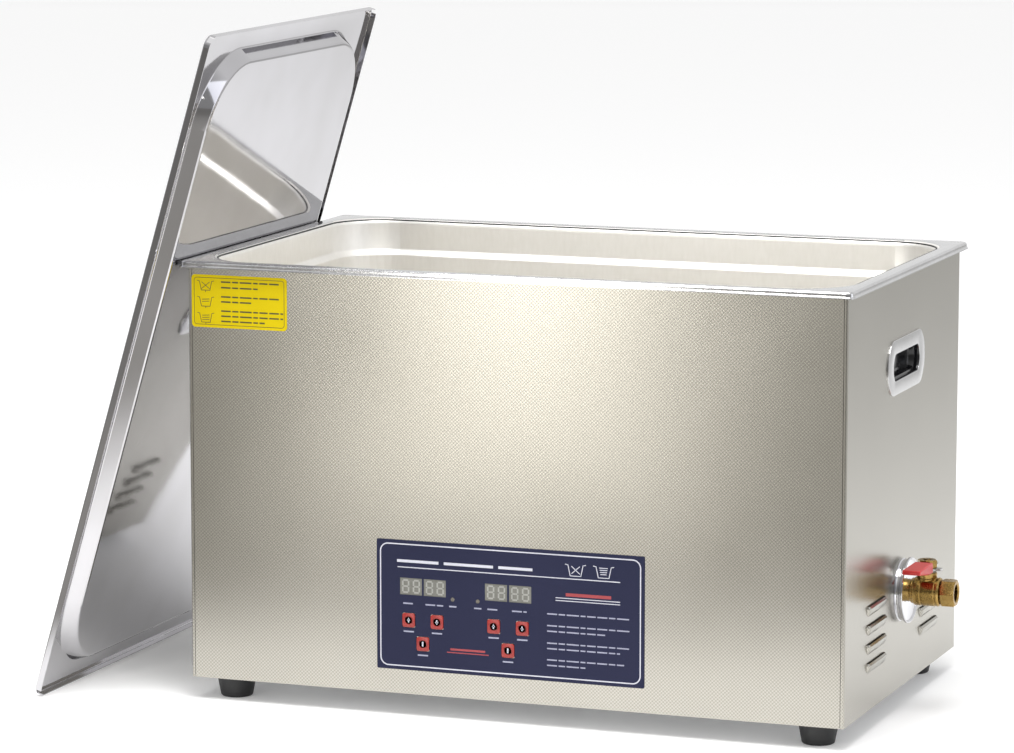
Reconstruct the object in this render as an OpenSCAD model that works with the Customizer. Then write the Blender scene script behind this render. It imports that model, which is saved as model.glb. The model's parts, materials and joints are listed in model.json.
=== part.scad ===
// Bench-top ultrasonic cleaner with a drain valve and a loose lid leaning on its left side.
// Millimetres. +Z is up and the front faces -Y. The origin is the middle of the whole
// footprint at bench level, so the case itself is shifted from it by case_x and case_y.

/* [Case] */
// Width of the case across its side panels
case_w = 518; // [512:1:520]
// Depth of the case from front panel to rear panel
case_d = 311; // [309:1:313]
// Height of the rim's top face above the bench
rim_top = 338.5; // [337:0.5:342]
// Thickness of the panels' sheet steel
sheet = 1; // [0.8:0.1:1.2]
// Height of the rubber feet
foot_h = 17.5; // [15:0.5:20]
// Distance of each foot's centre from the case's side
foot_inset_x = 26.5; // [24:0.5:30]
// Distance of each foot's centre from the case's front or back
foot_inset_y = 25; // [22:0.5:30]

/* [Tank] */
// Width of the tank's rim over its turned edge
rim_w = 530; // [528:1:532]
// Depth of the tank's rim over its turned edge
rim_d = 325; // [324:1:328]
// Inside length of the tank
tank_l = 500; // [496:1:500]
// Inside width of the tank
tank_w = 300; // [296:1:300]
// Inside depth of the tank
tank_depth = 200; // [190:1:205]
// Inside corner radius of the tank, seen from above
tank_corner = 42; // [36:1:50]
// Depth of the step in the wall below the rim
step_depth = 25; // [20:1:30]
// Width of the step in the wall
step_in = 4; // [3:0.5:4]

/* [Control panel] */
// Width of the front overlay
overlay_w = 212; // [206:1:216]
// Height of the front overlay
overlay_h = 99; // [96:1:104]
// Height of the overlay's lower edge above the bench
overlay_z = 36; // [34:1:38]
// Travel of each key
key_travel = 0.4; // [0.3:0.05:0.4]

/* [Handles and louvres] */
// Height of the side handles' centre above the bench
handle_z = 265.5; // [250:0.5:275]
// Length of the handle plates
handle_l = 101.5; // [96:0.5:110]
// Height of the handle plates
handle_h = 41.5; // [38:0.5:46]
// Length of one louvre
louvre_l = 47.5; // [40:0.5:50]
// Height of one louvre
louvre_h = 7.8; // [7:0.1:8.5]
// How far a louvre stands out of the panel
louvre_out = 2.8; // [2.4:0.1:3]
// Distance between louvres
louvre_pitch = 14.3; // [13.8:0.1:15]

/* [Drain valve] */
// Height of the valve's axis above the bench
valve_z = 92; // [88:1:92]
// How far the valve stands out of the side panel
valve_out = 42; // [42:0.5:44]
// Length of the lever from its stem to its tip
lever_l = 46; // [40:1:50]
// Width of the lever's sleeve
lever_w = 14; // [13:0.5:15]

/* [Lid] */
// Length of the lid over its turned edge
lid_l = 532; // [531:1:536]
// Width of the lid over its turned edge
lid_w = 328; // [327:1:332]
// Angle between the leaning lid and the vertical
lid_lean = 16.4; // [12:0.2:20]
// Depth of the lid's turned edge
lid_lip = 5.5; // [5:0.5:6]
// Depth of the panel drawn into the lid
lid_draw = 11.5; // [9:0.5:13]
// Sideways place of the lid's centre, measured from the case's centre
lid_y = -29.5; // [-40:0.5:-10]

/* [Transducers and fan] */
// Transducers in each of the two rows under the tank
transducer_columns = 5; // [3:1:5]
// Distance between transducers in a row
transducer_pitch = 88; // [80:1:88]
// Side of the square cooling fan
fan_side = 80; // [76:1:84]

/* [Hidden] */
$fn = 64;

steel = "#c9c6bd";
bright_steel = "#d8d8dc";
brass = "#b08a45";
red = "#c5413f";
black = "#202022";
board_green = "#2f6b45";
cut = 1;                                  // spare length of a cutting tool

// Case levels and faces
front_y = -case_d / 2;
side_x = case_w / 2;
rim_lip = 5;                              // height of the rim's turned edge
rim_edge = 2;                             // width of the rim's rounded edge
gasket_h = 1;
flange_z = rim_top - sheet;               // underside of the tank's flange
panel_top = flange_z - gasket_h;
panel_h = panel_top - foot_h;
corner_return = 2.8;                      // side sheet that shows on the front and the back
corner_gap = 0.4;                         // seam beside it
joggle_w = 14;                            // flange that lies behind the front and rear panels
gasket_corner = 3;
face_w = case_w - 2 * (corner_return + corner_gap);
foot_x = side_x - foot_inset_x;
foot_y = case_d / 2 - foot_inset_y;

// Tank levels
rim_corner = 4;
tank_floor = rim_top - tank_depth;
tank_under = tank_floor - sheet;
step_z = rim_top - step_depth;
lower_l = tank_l - 2 * step_in;
lower_w = tank_w - 2 * step_in;
lower_corner = tank_corner - step_in;
heater_pad = [320, 1.5, 90];
heater_lift = 30;                         // lower edge of the pads above the tank's floor
sensor_block = [24, 14, 4];
sensor_inset = 60;
sensor_tip_r = 4;
sensor_tip_h = 10;

// Control panel: two groups of two displays and three keys
overlay_t = 0.6;
overlay_corner = 1;
cutout_gap = 0.1;                         // round the displays and the lamps
label_size = [78, 40];
label_corner = 3;
label_t = 0.3;
label_x = 42 - case_w / 2;
label_z = rim_top - 30.5;
overlay_face = front_y - overlay_t;
group_x = [-69, -1];
display_w = 17.7;
display_h = 12.9;
display_pitch = 19.1;
display_z = overlay_z + 64;
display_proud = 0.3;                      // display face in front of the panel's face
key_w = 10;
key_h = 10.6;
key_pitch = 22.7;
key_row_z = overlay_z + 38.2;
key_low_z = overlay_z + 20.7;
key_proud = 0.4;
key_clearance = 0.1;                      // left behind a key that is fully pressed
key_t = overlay_t + key_proud - key_travel - key_clearance;
key_gap = 0.3;
key_corner = 1.5;
key_stem_r = 2.5;
key_stem_l = 4.5;
key_hole_r = 4;
led_x = [-45, -25];
led_z = overlay_z + 56.4;
led_r = 1.5;
led_proud = 0.3;
board_t = 1.6;
control_board_size = [140, 78];
control_board_x = -105;
control_board_z = overlay_z + 8;
spacer_r = 3;
spacer_hole_r = 1.5;
spacer_inset = 6;
control_board_y = front_y + 7.7;          // front face of the control board
switch_side = 6;
switch_h = 2.2;
plunger_r = 1.7;
plunger_y = front_y + 4.7;

// Handle pockets
pocket_l = 73;
pocket_h = 20.5;
handle_end_r = 23;                        // radius of the plate's bulged ends
pocket_end_r = 13.2;
cup_depth = 9.5;
cup_wall = 2.6;
cup_gap = 0.2;                            // between the cup and the panel's opening
cup_floor = 1.3;
cup_step = 0.5;                           // cup wall set back behind the plate's edge
handle_plate_t = 1.2;

// Louvres: a hood is part of a capsule whose middle lies inside the case
louvre_r = (louvre_h * louvre_h + louvre_out * louvre_out) / (2 * louvre_out);
louvre_sheet = 0.8;
louvre_rows = 4;
louvre_first_z = 46;
louvre_y = 73;

// Drain
drain_x = 215;
pipe_r = 8.5;
pipe_gap = 0.2;
pipe_bore = 6;
strainer_r = 21;
strainer_t = 1.5;
strainer_hole_r = 1.3;
strainer_hole_ring = 3.6;
bend_r = 14;
tail_z = valve_z + bend_r + 12;           // lower end of the drain fitting's tail
valve_start = side_x - 12;
nut_h = 7;
nut_r = 13.9;
stem_x = side_x + 19;
ball_r = 8;
ball_bore = 5;
cavity_r = 8.6;
seat_gap = 0.2;
seat_t = 3.7;
cavity_start = stem_x - ball_r - 0.7;
cavity_end = stem_x + ball_r + 4;
housing_r = 11;
collar_r = 9.8;
collar_l = 3;
hex_r = 11;                               // 19 mm across flats
valve_end = side_x + valve_out;
outlet_r = 5.7;
outlet_l = 9;
boss_r = 7.7;
boss_top = valve_z + 15;
stem_r = 2.5;
stem_gap = 0.05;
stem_key = [2.2, 4, 2.7];                 // flats that sit in the ball's slot
stem_key_gap = 0.1;
lever_plate_t = 1.6;
lever_plate_z = boss_top + 1.5;
lever_hub_r = 8;
lever_strap_w = 10;
lever_stop = [11, 6];
lever_nut_r = 7.5;                        // 13 mm across flats
lever_nut_h = 6.4;
lever_top = valve_z + 24;
escutcheon_r = 25;
escutcheon_t = 6.5;

// Lid: it lies flat in its own frame, with the outer face at z = 0, then it is stood up
lid_sheet_t = 0.8;
lid_corner = 9;
draw_inset = 15;
draw_slope = 7;
draw_corner = 60;
lid_gap = 0.3;
// The drawn panel rests on the rim's left edge
lid_rest_z = rim_top - rim_edge;
lid_edge_x = -(rim_w / 2 * cos(lid_lean) + lid_rest_z * sin(lid_lean) + lid_gap
    + lid_draw - lid_lip) / cos(lid_lean);
lid_origin_x = lid_edge_x - lid_lip * cos(lid_lean);
lid_origin_z = lid_lip * sin(lid_lean);
lid_grip_l = 120;
lid_grip_r = 5;
lid_grip_z = 18;
lid_foot_r = 11;
lid_foot_t = 2;
draw_edge = 0.01;                         // thickness of the layers the drawn panel spans
draw_fn = 32;

// The case is shifted so that the origin is the middle of the whole footprint
case_x = -(lid_origin_x + valve_end) / 2;
case_y = -(lid_y - lid_w / 2 + rim_d / 2) / 2;

// Transducers hang under the tank
mass_h = 24;
mass_r = 29;
mass_r_small = 22;
mass_tap = 13;                            // depth of the bolt's hole in the mass
bond_gap = 0.3;                           // electrode between the stacked rings
ring_h = 5;
ring_r = 19;
ring_hole_r = 8;
back_mass_h = 18;
back_mass_r = 20;
bolt_r = 5;
bolt_head_h = 6;
bolt_head_r = 8.7;
bolt_reach = 11;
transducer_y = 72;
mass_z = tank_under - mass_h;
ring_z = mass_z - 2 * ring_h;
back_mass_z = ring_z - back_mass_h;

// Electronics on the base plate
base_t = 1.2;
base_top = foot_h + base_t;
base_flange_h = 14;
base_slots = 10;
base_slot = [50, 5];
base_slot_pitch = 20;
base_slot_start = [-150, -95];
generator_z = base_top + 8;
generator_size = [220, 120];
generator_hole_inset = 6;
pillar_r = 3.5;
pillar_hole_r = 1.5;
parts_z = generator_z + board_t;          // face that the generator's parts stand on
heat_sink_fins = 9;
heat_sink_size = [60, 44, 30];
heat_sink_foot = 4;
heat_sink_fin_t = 2;
core_size = [48, 40, 32];
core_window = [10, 16];
core_window_x = [7, 31];
core_window_z = 8;
capacitor_r = 9;
capacitor_h = 30;
capacitor_pitch = 26;
capacitor_count = 4;

// Rear panel
rear_y = case_d / 2;
rear_in = rear_y - sheet;
fan_x = -150;
fan_z = 68;
fan_t = 25;
fan_bore = fan_side / 2 - 2;
fan_corner = 4;
fan_hole_at = fan_side / 2 - 4;
fan_hole_r = 2;
fan_arm_w = 4;
fan_arm_t = 2;
spindle_l = 16;
rotor_hub_r = 16;
rotor_h = 18;
rotor_blades = 7;
blade_pitch_angle = 38;
blade_w = 18;
blade_t = 1.6;
spindle_r = 1.5;
guard_wire_r = 0.9;
guard_hoops = 4;
guard_hoop_pitch = 9;
guard_z = 1.2;
inlet_x = 150;
inlet_z = 56;
inlet_plate = [50, 28];
inlet_plate_corner = 4;
inlet_plate_t = 2.5;
inlet_shell = [27, 20];
inlet_shell_l = 22;
inlet_well = [24, 16, 16];
inlet_hole_x = 20;
inlet_blade = [2, 4, 13];
inlet_blade_pitch = 7;
vent_size = [32, 4];
vent_pitch = [42, 14];
vent_start = [-20, 50];
vent_rows = 4;
vent_columns = 3;
switch_x = 150;
switch_z = 98;
switch_flange = [25, 31];
switch_flange_t = 1.8;
switch_shell = [22, 28.4, 15];
switch_well = [18.2, 25.4];
rocker_half = 12.2;
rocker_w = 17.6;
rocker_tilt = 10;
rocker_y = rear_y - 1;
rocker_pin_r = 1.5;
screw_r = 1.5;
screw_gap = 0.2;
screw_head_r = 3;
screw_head_h = 1.8;
screw_l = 7;
screw_x = side_x - 9;
screw_rows = [40, 130, 220, 310];
foot_screw_r = 2;
foot_screw_head_r = 4.4;
foot_screw_head_h = 3;
foot_tip_r = 10.5;
foot_round = 2;
foot_top_r = 15.5;
foot_recess = 7;                          // depth of the screw recess under a foot

// ---- Shared shapes ----

// Moves a piece of the cleaner from the case's own centre to its place
module on_case() translate([case_x, case_y, 0]) children();

// Turns a flat outline to stand on the front: x stays, y becomes Z, height grows forward
module facing_front(y) translate([0, y, 0]) rotate([90, 0, 0]) children();

// Turns a flat outline to stand on the rear: height grows backward
module facing_rear(y) translate([0, y, 0]) rotate([-90, 0, 0]) mirror([0, 1, 0]) children();

// Turns a flat outline to stand on the right side: x becomes Y, y becomes Z
module facing_right(x) translate([x, 0, 0]) rotate([90, 0, 90]) children();

module rounded_outline(length, width, radius) {
    square([length - 2 * radius, width], center = true);
    square([length, width - 2 * radius], center = true);
    for (x = [-1, 1], y = [-1, 1])
        translate([x * (length / 2 - radius), y * (width / 2 - radius)]) circle(radius);
}

module rounded_block(length, width, radius, height)
    linear_extrude(height) rounded_outline(length, width, radius);

// Oblong whose ends are arcs flatter than half circles
module bulged_outline(length, height, end_r) intersection() {
    square([length + 2 * cut, height], center = true);
    union() {
        square([length - 2 * end_r, 2 * height], center = true);
        for (side = [-1, 1]) translate([side * (length / 2 - end_r), 0]) circle(end_r);
    }
}

// The handle pocket's outline, grown all round
module pocket_outline(extra)
    bulged_outline(pocket_l + 2 * extra, pocket_h + 2 * extra, pocket_end_r + extra);

module stadium(length, height) {
    square([length - height, height], center = true);
    for (x = [-1, 1]) translate([x * (length - height) / 2, 0]) circle(height / 2);
}

module ring(outer_r, inner_r, height) difference() {
    cylinder(r = outer_r, h = height);
    translate([0, 0, -cut]) cylinder(r = inner_r, h = height + 2 * cut);
}

// Solid whose outline is turned about its own z axis, laid along +X
module turned_along_x(x) translate([x, 0, valve_z]) rotate([0, 90, 0]) rotate_extrude() children();

// ---- Case ----

module front_panel() color(steel) on_case() difference() {
    translate([-face_w / 2, front_y, foot_h]) cube([face_w, sheet, panel_h]);
    facing_front(front_y + sheet + cut) linear_extrude(sheet + 2 * cut) {
        for (x = group_x) {
            translate([x, display_z])
                square([display_pitch + display_w + 2 * key_gap, display_h + 2 * key_gap], center = true);
            for (place = key_places(x)) translate(place) circle(key_hole_r);
        }
        for (x = led_x) translate([x, led_z]) circle(led_r + key_gap);
    }
}

module rear_panel() color(steel) on_case() difference() {
    translate([-face_w / 2, rear_in, foot_h]) cube([face_w, sheet, panel_h]);
    facing_rear(rear_in - cut) linear_extrude(sheet + 2 * cut) {
        translate([fan_x, fan_z]) circle(fan_bore);
        for (x = [-1, 1], z = [-1, 1])
            translate([fan_x + x * fan_hole_at, fan_z + z * fan_hole_at]) circle(fan_hole_r);
        translate([inlet_x, inlet_z]) square([inlet_shell[0] + 1, inlet_shell[1] + 1], center = true);
        translate([switch_x, switch_z])
            square([switch_shell[0] + 0.6, switch_shell[1] + 0.6], center = true);
        for (z = screw_rows, x = [-1, 1]) translate([x * screw_x, z]) circle(screw_r + screw_gap);
        for (row = [0 : vent_rows - 1], column = [0 : vent_columns - 1])
            translate([vent_start[0] + vent_pitch[0] * column, vent_start[1] + vent_pitch[1] * row])
                stadium(vent_size[0], vent_size[1]);
    }
}

module louvre_capsule(radius) rotate([-90, 0, 0]) rotate_extrude() intersection() {
    union() {
        square([2 * radius, louvre_l - 2 * louvre_h], center = true);
        for (end = [-1, 1]) translate([0, end * (louvre_l / 2 - louvre_h)]) circle(radius);
    }
    translate([0, -louvre_l]) square([radius + cut, 2 * louvre_l]);
}

module at_louvres(first_x) for (row = [0 : louvre_rows - 1], side = [-1, 1])
    translate([side_x + louvre_out - louvre_r, side * louvre_y,
        louvre_first_z + louvre_h + row * louvre_pitch]) children();

module louvre_hood(radius, inner_x) intersection() {
    louvre_capsule(radius);
    translate([inner_x, -louvre_l, -louvre_r]) cube([louvre_r, 2 * louvre_l, louvre_r]);
}

module side_panel(with_drain) difference() {
    union() {
        translate([side_x - sheet, front_y, foot_h]) cube([sheet, case_d, panel_h]);
        for (side = [0, 1]) mirror([0, side, 0]) {
            translate([side_x - corner_return, front_y, foot_h]) cube([corner_return, sheet, panel_h]);
            translate([side_x - joggle_w, front_y + sheet, foot_h])
                cube([joggle_w - sheet / 2, sheet, panel_h]);
        }
        at_louvres() louvre_hood(louvre_r, louvre_r - louvre_out - sheet / 2);
    }
    at_louvres() louvre_hood(louvre_r - louvre_sheet, louvre_r - louvre_out - 2 * sheet);
    facing_right(side_x - sheet - cut) linear_extrude(sheet + 2 * cut) {
        translate([0, handle_z]) pocket_outline(cup_wall);
        if (with_drain) translate([0, valve_z]) circle(pipe_r + pipe_gap);
    }
    for (z = screw_rows) translate([screw_x, rear_in - 2 * sheet, z])
        rotate([-90, 0, 0]) cylinder(r = screw_r + screw_gap, h = 2 * sheet);
}

module right_side_panel() color(steel) on_case() side_panel(true);
module left_side_panel() color(steel) on_case() mirror([1, 0, 0]) side_panel(false);

module base_plate() color(steel) on_case() difference() {
    union() {
        translate([-side_x + sheet, front_y + 2 * sheet, foot_h])
            cube([case_w - 2 * sheet, case_d - 4 * sheet, base_t]);
        for (side = [0, 1]) mirror([side, 0, 0])
            translate([side_x - sheet - base_t, front_y + 2 * sheet, foot_h])
                cube([base_t, case_d - 4 * sheet, base_flange_h]);
    }
    at_feet() translate([0, 0, -cut]) cylinder(r = foot_screw_r + screw_gap, h = base_top + 2 * cut);
    for (column = [0 : base_slots - 1])
        translate([base_slot_start[0] + base_slot_pitch * column, base_slot_start[1], foot_h - cut])
            linear_extrude(base_t + 2 * cut) rotate(90) stadium(base_slot[0], base_slot[1]);
}

// The four corners of the case where the feet are fixed
module at_feet() for (x = [-1, 1], y = [-1, 1]) translate([x * foot_x, y * foot_y, 0]) children();

module foot(side, end) color(black) on_case() translate([side * foot_x, end * foot_y, 0]) difference() {
    rotate_extrude() {
        polygon([[0, 0], [foot_tip_r, 0], [foot_tip_r + foot_round, foot_round],
            [foot_top_r, foot_h], [0, foot_h]]);
        intersection() {
            translate([foot_tip_r, foot_round]) circle(foot_round);
            square([foot_tip_r + foot_round, 2 * foot_round]);
        }
    }
    translate([0, 0, -cut]) cylinder(r = foot_screw_head_r + 3 * screw_gap, h = foot_recess + cut);
    translate([0, 0, -cut]) cylinder(r = foot_screw_r + screw_gap, h = foot_h + 2 * cut);
}
module foot_front_left() foot(-1, -1);
module foot_front_right() foot(1, -1);
module foot_rear_left() foot(-1, 1);
module foot_rear_right() foot(1, 1);

module case_screws() color("silver") on_case() {
    at_feet() {
        translate([0, 0, foot_recess - foot_screw_head_h])
            cylinder(r = foot_screw_head_r, h = foot_screw_head_h);
        translate([0, 0, foot_recess - cut])
            cylinder(r = foot_screw_r, h = foot_h - foot_recess + screw_l + cut);
    }
    for (x = [-1, 1], z = screw_rows) translate([x * screw_x, 0, z]) rotate([-90, 0, 0]) {
        translate([0, 0, rear_y]) cylinder(r = screw_head_r, h = screw_head_h);
        translate([0, 0, rear_y - screw_l]) cylinder(r = screw_r, h = screw_l + screw_head_h / 2);
    }
}

// ---- Tank and rim ----

module tank_hollow(extra) {
    translate([0, 0, step_z]) rounded_block(tank_l + 2 * extra, tank_w + 2 * extra,
        tank_corner + extra, step_depth + cut);
    translate([0, 0, tank_floor - extra]) rounded_block(lower_l + 2 * extra, lower_w + 2 * extra,
        lower_corner + extra, tank_depth);
}

module tank() color(bright_steel) on_case() difference() {
    union() {
        intersection() {
            tank_hollow(sheet);
            translate([-rim_w, -rim_d, 0]) cube([2 * rim_w, 2 * rim_d, rim_top]);
        }
        translate([0, 0, step_z - sheet]) rounded_block(tank_l + 2 * sheet, tank_w + 2 * sheet,
            tank_corner + sheet, 2 * sheet);
        translate([0, 0, flange_z]) rounded_block(rim_w - 2 * rim_edge, rim_d - 2 * rim_edge,
            rim_corner - sheet, sheet);
        difference() {
            translate([0, 0, rim_top - rim_lip])
                rounded_block(rim_w, rim_d, rim_corner, rim_lip - rim_edge);
            translate([0, 0, rim_top - rim_lip - cut])
                rounded_block(rim_w - 2 * rim_edge - 2 * sheet, rim_d - 2 * rim_edge - 2 * sheet,
                    rim_corner - 2 * sheet, rim_lip);
        }
        difference() {
            translate([0, 0, rim_top - rim_lip])
                rounded_block(rim_w - 2 * rim_edge, rim_d - 2 * rim_edge, rim_corner - sheet, rim_lip);
            translate([0, 0, rim_top - rim_lip - cut])
                rounded_block(rim_w - 2 * rim_edge - 2 * sheet, rim_d - 2 * rim_edge - 2 * sheet,
                    rim_corner - 2 * sheet, rim_lip + 2 * cut);
        }
    }
    tank_hollow(0);
    translate([drain_x, 0, tank_under - cut]) cylinder(r = pipe_r + pipe_gap, h = sheet + 2 * cut);
}

module rim_gasket() color(black) on_case() translate([0, 0, panel_top]) difference() {
    rounded_block(case_w, case_d, gasket_corner, gasket_h);
    translate([0, 0, -cut]) rounded_block(tank_l + 2 * sheet, tank_w + 2 * sheet,
        tank_corner + sheet, gasket_h + 2 * cut);
}

module heater_pads() color("#b5532e") on_case() for (side = [0, 1]) mirror([0, side, 0])
    translate([-heater_pad[0] / 2, lower_w / 2 + sheet, tank_floor + heater_lift]) cube(heater_pad);

module temperature_sensor() color("silver") on_case()
    translate([-lower_l / 2 + sensor_inset, 0, tank_under - sensor_block[2]]) {
        translate([-sensor_block[0] / 2, -sensor_block[1] / 2, 0]) cube(sensor_block);
        translate([0, 0, -sensor_tip_h]) cylinder(r = sensor_tip_r, h = sensor_tip_h);
    }

// ---- Control panel ----

// The three keys of a group: two arrows in a row and a power key below
function key_places(x) = [[x - key_pitch / 2, key_row_z], [x + key_pitch / 2, key_row_z], [x, key_low_z]];

module panel_overlay() color("#3a3a58") on_case() difference() {
    facing_front(front_y) translate([0, overlay_z + overlay_h / 2])
        rounded_block(overlay_w, overlay_h, overlay_corner, overlay_t);
    facing_front(front_y + cut) linear_extrude(overlay_t + 2 * cut) {
        for (x = group_x) {
            for (side = [-1, 1]) translate([x + side * display_pitch / 2, display_z])
                square([display_w + 2 * cutout_gap, display_h + 2 * cutout_gap], center = true);
            for (place = key_places(x)) translate(place)
                square([key_w + 2 * key_gap, key_h + 2 * key_gap], center = true);
        }
        for (x = led_x) translate([x, led_z]) circle(led_r + cutout_gap);
    }
}

module notice_label() color("#e0c911") on_case() facing_front(front_y)
    translate([label_x, label_z]) rounded_block(label_size[0], label_size[1], label_corner, label_t);

module display_pair(x) color("#6f6f6c") on_case() for (side = [-1, 1])
    translate([x + side * display_pitch / 2 - display_w / 2, front_y - display_proud,
        display_z - display_h / 2])
        cube([display_w, control_board_y - front_y + display_proud, display_h]);
module display_temperature() display_pair(group_x[0]);
module display_time() display_pair(group_x[1]);

module indicator_leds() color("#d9d2c0") on_case() for (x = led_x)
    translate([x, control_board_y, led_z]) rotate([90, 0, 0])
        cylinder(r = led_r, h = control_board_y - overlay_face + led_proud);

module key(group, index) color(red) on_case()
    facing_front(overlay_face - key_proud + key_t) translate(key_places(group_x[group])[index]) {
        rounded_block(key_w, key_h, key_corner, key_t);
        translate([0, 0, -key_stem_l]) cylinder(r = key_stem_r, h = key_stem_l + key_t / 2);
    }
module key_temp_up() key(0, 0);
module key_temp_down() key(0, 1);
module key_heat_power() key(0, 2);
module key_time_up() key(1, 0);
module key_time_down() key(1, 1);
module key_timer_power() key(1, 2);

module key_switches() color("#303034") on_case() for (x = group_x, place = key_places(x)) {
    facing_front(control_board_y) translate([place[0], place[1], 0]) {
        translate([-switch_side / 2, -switch_side / 2, 0]) cube([switch_side, switch_side, switch_h]);
        cylinder(r = plunger_r, h = control_board_y - plunger_y);
    }
}

module control_board() color(board_green) on_case()
    translate([control_board_x, control_board_y, control_board_z])
        cube([control_board_size[0], board_t, control_board_size[1]]);

module board_spacers() color("silver") on_case()
    for (x = [spacer_inset, control_board_size[0] - spacer_inset],
            z = [spacer_inset, control_board_size[1] - spacer_inset])
        translate([control_board_x + x, control_board_y, control_board_z + z]) rotate([90, 0, 0])
            ring(spacer_r, spacer_hole_r, control_board_y - front_y - sheet);

// ---- Handles ----

module handle_plate() facing_right(side_x) translate([0, handle_z]) linear_extrude(handle_plate_t)
    difference() {
        bulged_outline(handle_l, handle_h, handle_end_r);
        pocket_outline(0);
    }
module right_handle_plate() color(bright_steel) on_case() handle_plate();
module left_handle_plate() color(bright_steel) on_case() mirror([1, 0, 0]) handle_plate();

module handle_cup() facing_right(side_x - cup_depth) translate([0, handle_z]) difference() {
    linear_extrude(cup_depth) pocket_outline(cup_wall - cup_gap);
    translate([0, 0, cup_floor]) linear_extrude(cup_depth) pocket_outline(cup_step);
}
module right_handle_cup() color(black) on_case() handle_cup();
module left_handle_cup() color(black) on_case() mirror([1, 0, 0]) handle_cup();

// ---- Transducers and electronics ----

module at_transducers() for (column = [0 : transducer_columns - 1], side = [-1, 1])
    translate([(column - (transducer_columns - 1) / 2) * transducer_pitch, side * transducer_y, 0])
        children();

module transducer_front_masses() color("#b9bcc2") on_case() at_transducers()
    translate([0, 0, mass_z]) difference() {
        cylinder(r1 = mass_r_small, r2 = mass_r, h = mass_h);
        translate([0, 0, -cut]) cylinder(r = bolt_r, h = mass_tap);
    }
module transducer_piezo_rings() color("#d8cfae") on_case() at_transducers() for (layer = [0, 1])
    translate([0, 0, ring_z + layer * ring_h]) ring(ring_r, ring_hole_r, ring_h - bond_gap);
module transducer_back_masses() color("#85878c") on_case() at_transducers()
    translate([0, 0, back_mass_z]) ring(back_mass_r, bolt_r + screw_gap, back_mass_h - bond_gap);
module transducer_bolts() color("#4a4b50") on_case() at_transducers() {
    translate([0, 0, back_mass_z - bolt_head_h]) cylinder(r = bolt_head_r, h = bolt_head_h, $fn = 6);
    translate([0, 0, back_mass_z - cut])
        cylinder(r = bolt_r - screw_gap / 2, h = mass_z + bolt_reach - back_mass_z);
}

module generator_board() color(board_green) on_case() difference() {
    union() {
        translate([-generator_size[0] / 2, -generator_size[1] / 2, generator_z])
            cube([generator_size[0], generator_size[1], board_t]);
        at_board_corners() translate([0, 0, base_top]) cylinder(r = pillar_r, h = generator_z - base_top);
    }
    at_board_corners() translate([0, 0, base_top + 1])
        cylinder(r = pillar_hole_r, h = generator_z + board_t - base_top);
}
module at_board_corners() for (x = [-1, 1], y = [-1, 1])
    translate([x * (generator_size[0] / 2 - generator_hole_inset),
        y * (generator_size[1] / 2 - generator_hole_inset), 0]) children();

module heat_sink() color("#9fa3a8") on_case() translate([-95, -45, parts_z]) {
    cube([heat_sink_size[0], heat_sink_size[1], heat_sink_foot]);
    for (fin = [0 : heat_sink_fins - 1])
        translate([fin * (heat_sink_size[0] - heat_sink_fin_t) / (heat_sink_fins - 1), 0, 0])
            cube([heat_sink_fin_t, heat_sink_size[1], heat_sink_size[2]]);
}
module drive_transformer() color("#3b3532") on_case() translate([20, -10, parts_z]) difference() {
    cube(core_size);
    for (x = core_window_x) translate([x, -cut, core_window_z])
        cube([core_window[0], core_size[1] + 2 * cut, core_window[1]]);
}
module capacitors() color("#26405f") on_case() for (column = [0 : capacitor_count - 1])
    translate([-10 + column * capacitor_pitch, -40, parts_z]) cylinder(r = capacitor_r, h = capacitor_h);

// ---- Rear fittings ----

module fan_frame() color(black) on_case() facing_rear(rear_in - fan_t) translate([fan_x, fan_z]) {
    difference() {
        rounded_block(fan_side, fan_side, fan_corner, fan_t);
        translate([0, 0, -cut]) cylinder(r = fan_bore, h = fan_t + 2 * cut);
        for (x = [-1, 1], y = [-1, 1]) translate([x * fan_hole_at, y * fan_hole_at, -cut])
            cylinder(r = fan_hole_r, h = fan_t + 2 * cut);
    }
    cylinder(r = rotor_hub_r, h = fan_arm_t);
    cylinder(r = spindle_r, h = spindle_l);
    for (arm = [0 : 3]) rotate(45 + 90 * arm) translate([rotor_hub_r - 1, -fan_arm_w / 2, 0])
        cube([fan_bore - rotor_hub_r + 2, fan_arm_w, fan_arm_t]);
}
module fan_rotor() color("#2c2c30") on_case() facing_rear(rear_in - fan_t + 3) translate([fan_x, fan_z])
    difference() {
        union() {
            cylinder(r = rotor_hub_r, h = rotor_h);
            for (blade = [0 : rotor_blades - 1]) rotate(blade * 360 / rotor_blades)
                translate([rotor_hub_r - 2, 0, rotor_h / 2]) rotate([blade_pitch_angle, 0, 0])
                    translate([0, -blade_w / 2, -blade_t / 2])
                        cube([fan_bore - rotor_hub_r, blade_w, blade_t]);
        }
        translate([0, 0, -cut]) cylinder(r = spindle_r + stem_gap, h = spindle_l - 1.5 + cut);
    }
module fan_guard() color("silver") on_case() facing_rear(rear_y) translate([fan_x, fan_z, guard_z]) {
    for (hoop = [1 : guard_hoops])
        rotate_extrude() translate([hoop * guard_hoop_pitch, 0]) circle(guard_wire_r);
    for (spoke = [0 : 3]) rotate(45 + 90 * spoke) translate([guard_hoop_pitch, 0, 0]) rotate([0, 90, 0])
        cylinder(r = guard_wire_r, h = fan_hole_at * sqrt(2) - guard_hoop_pitch + fan_hole_r - 0.4);
}

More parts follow.
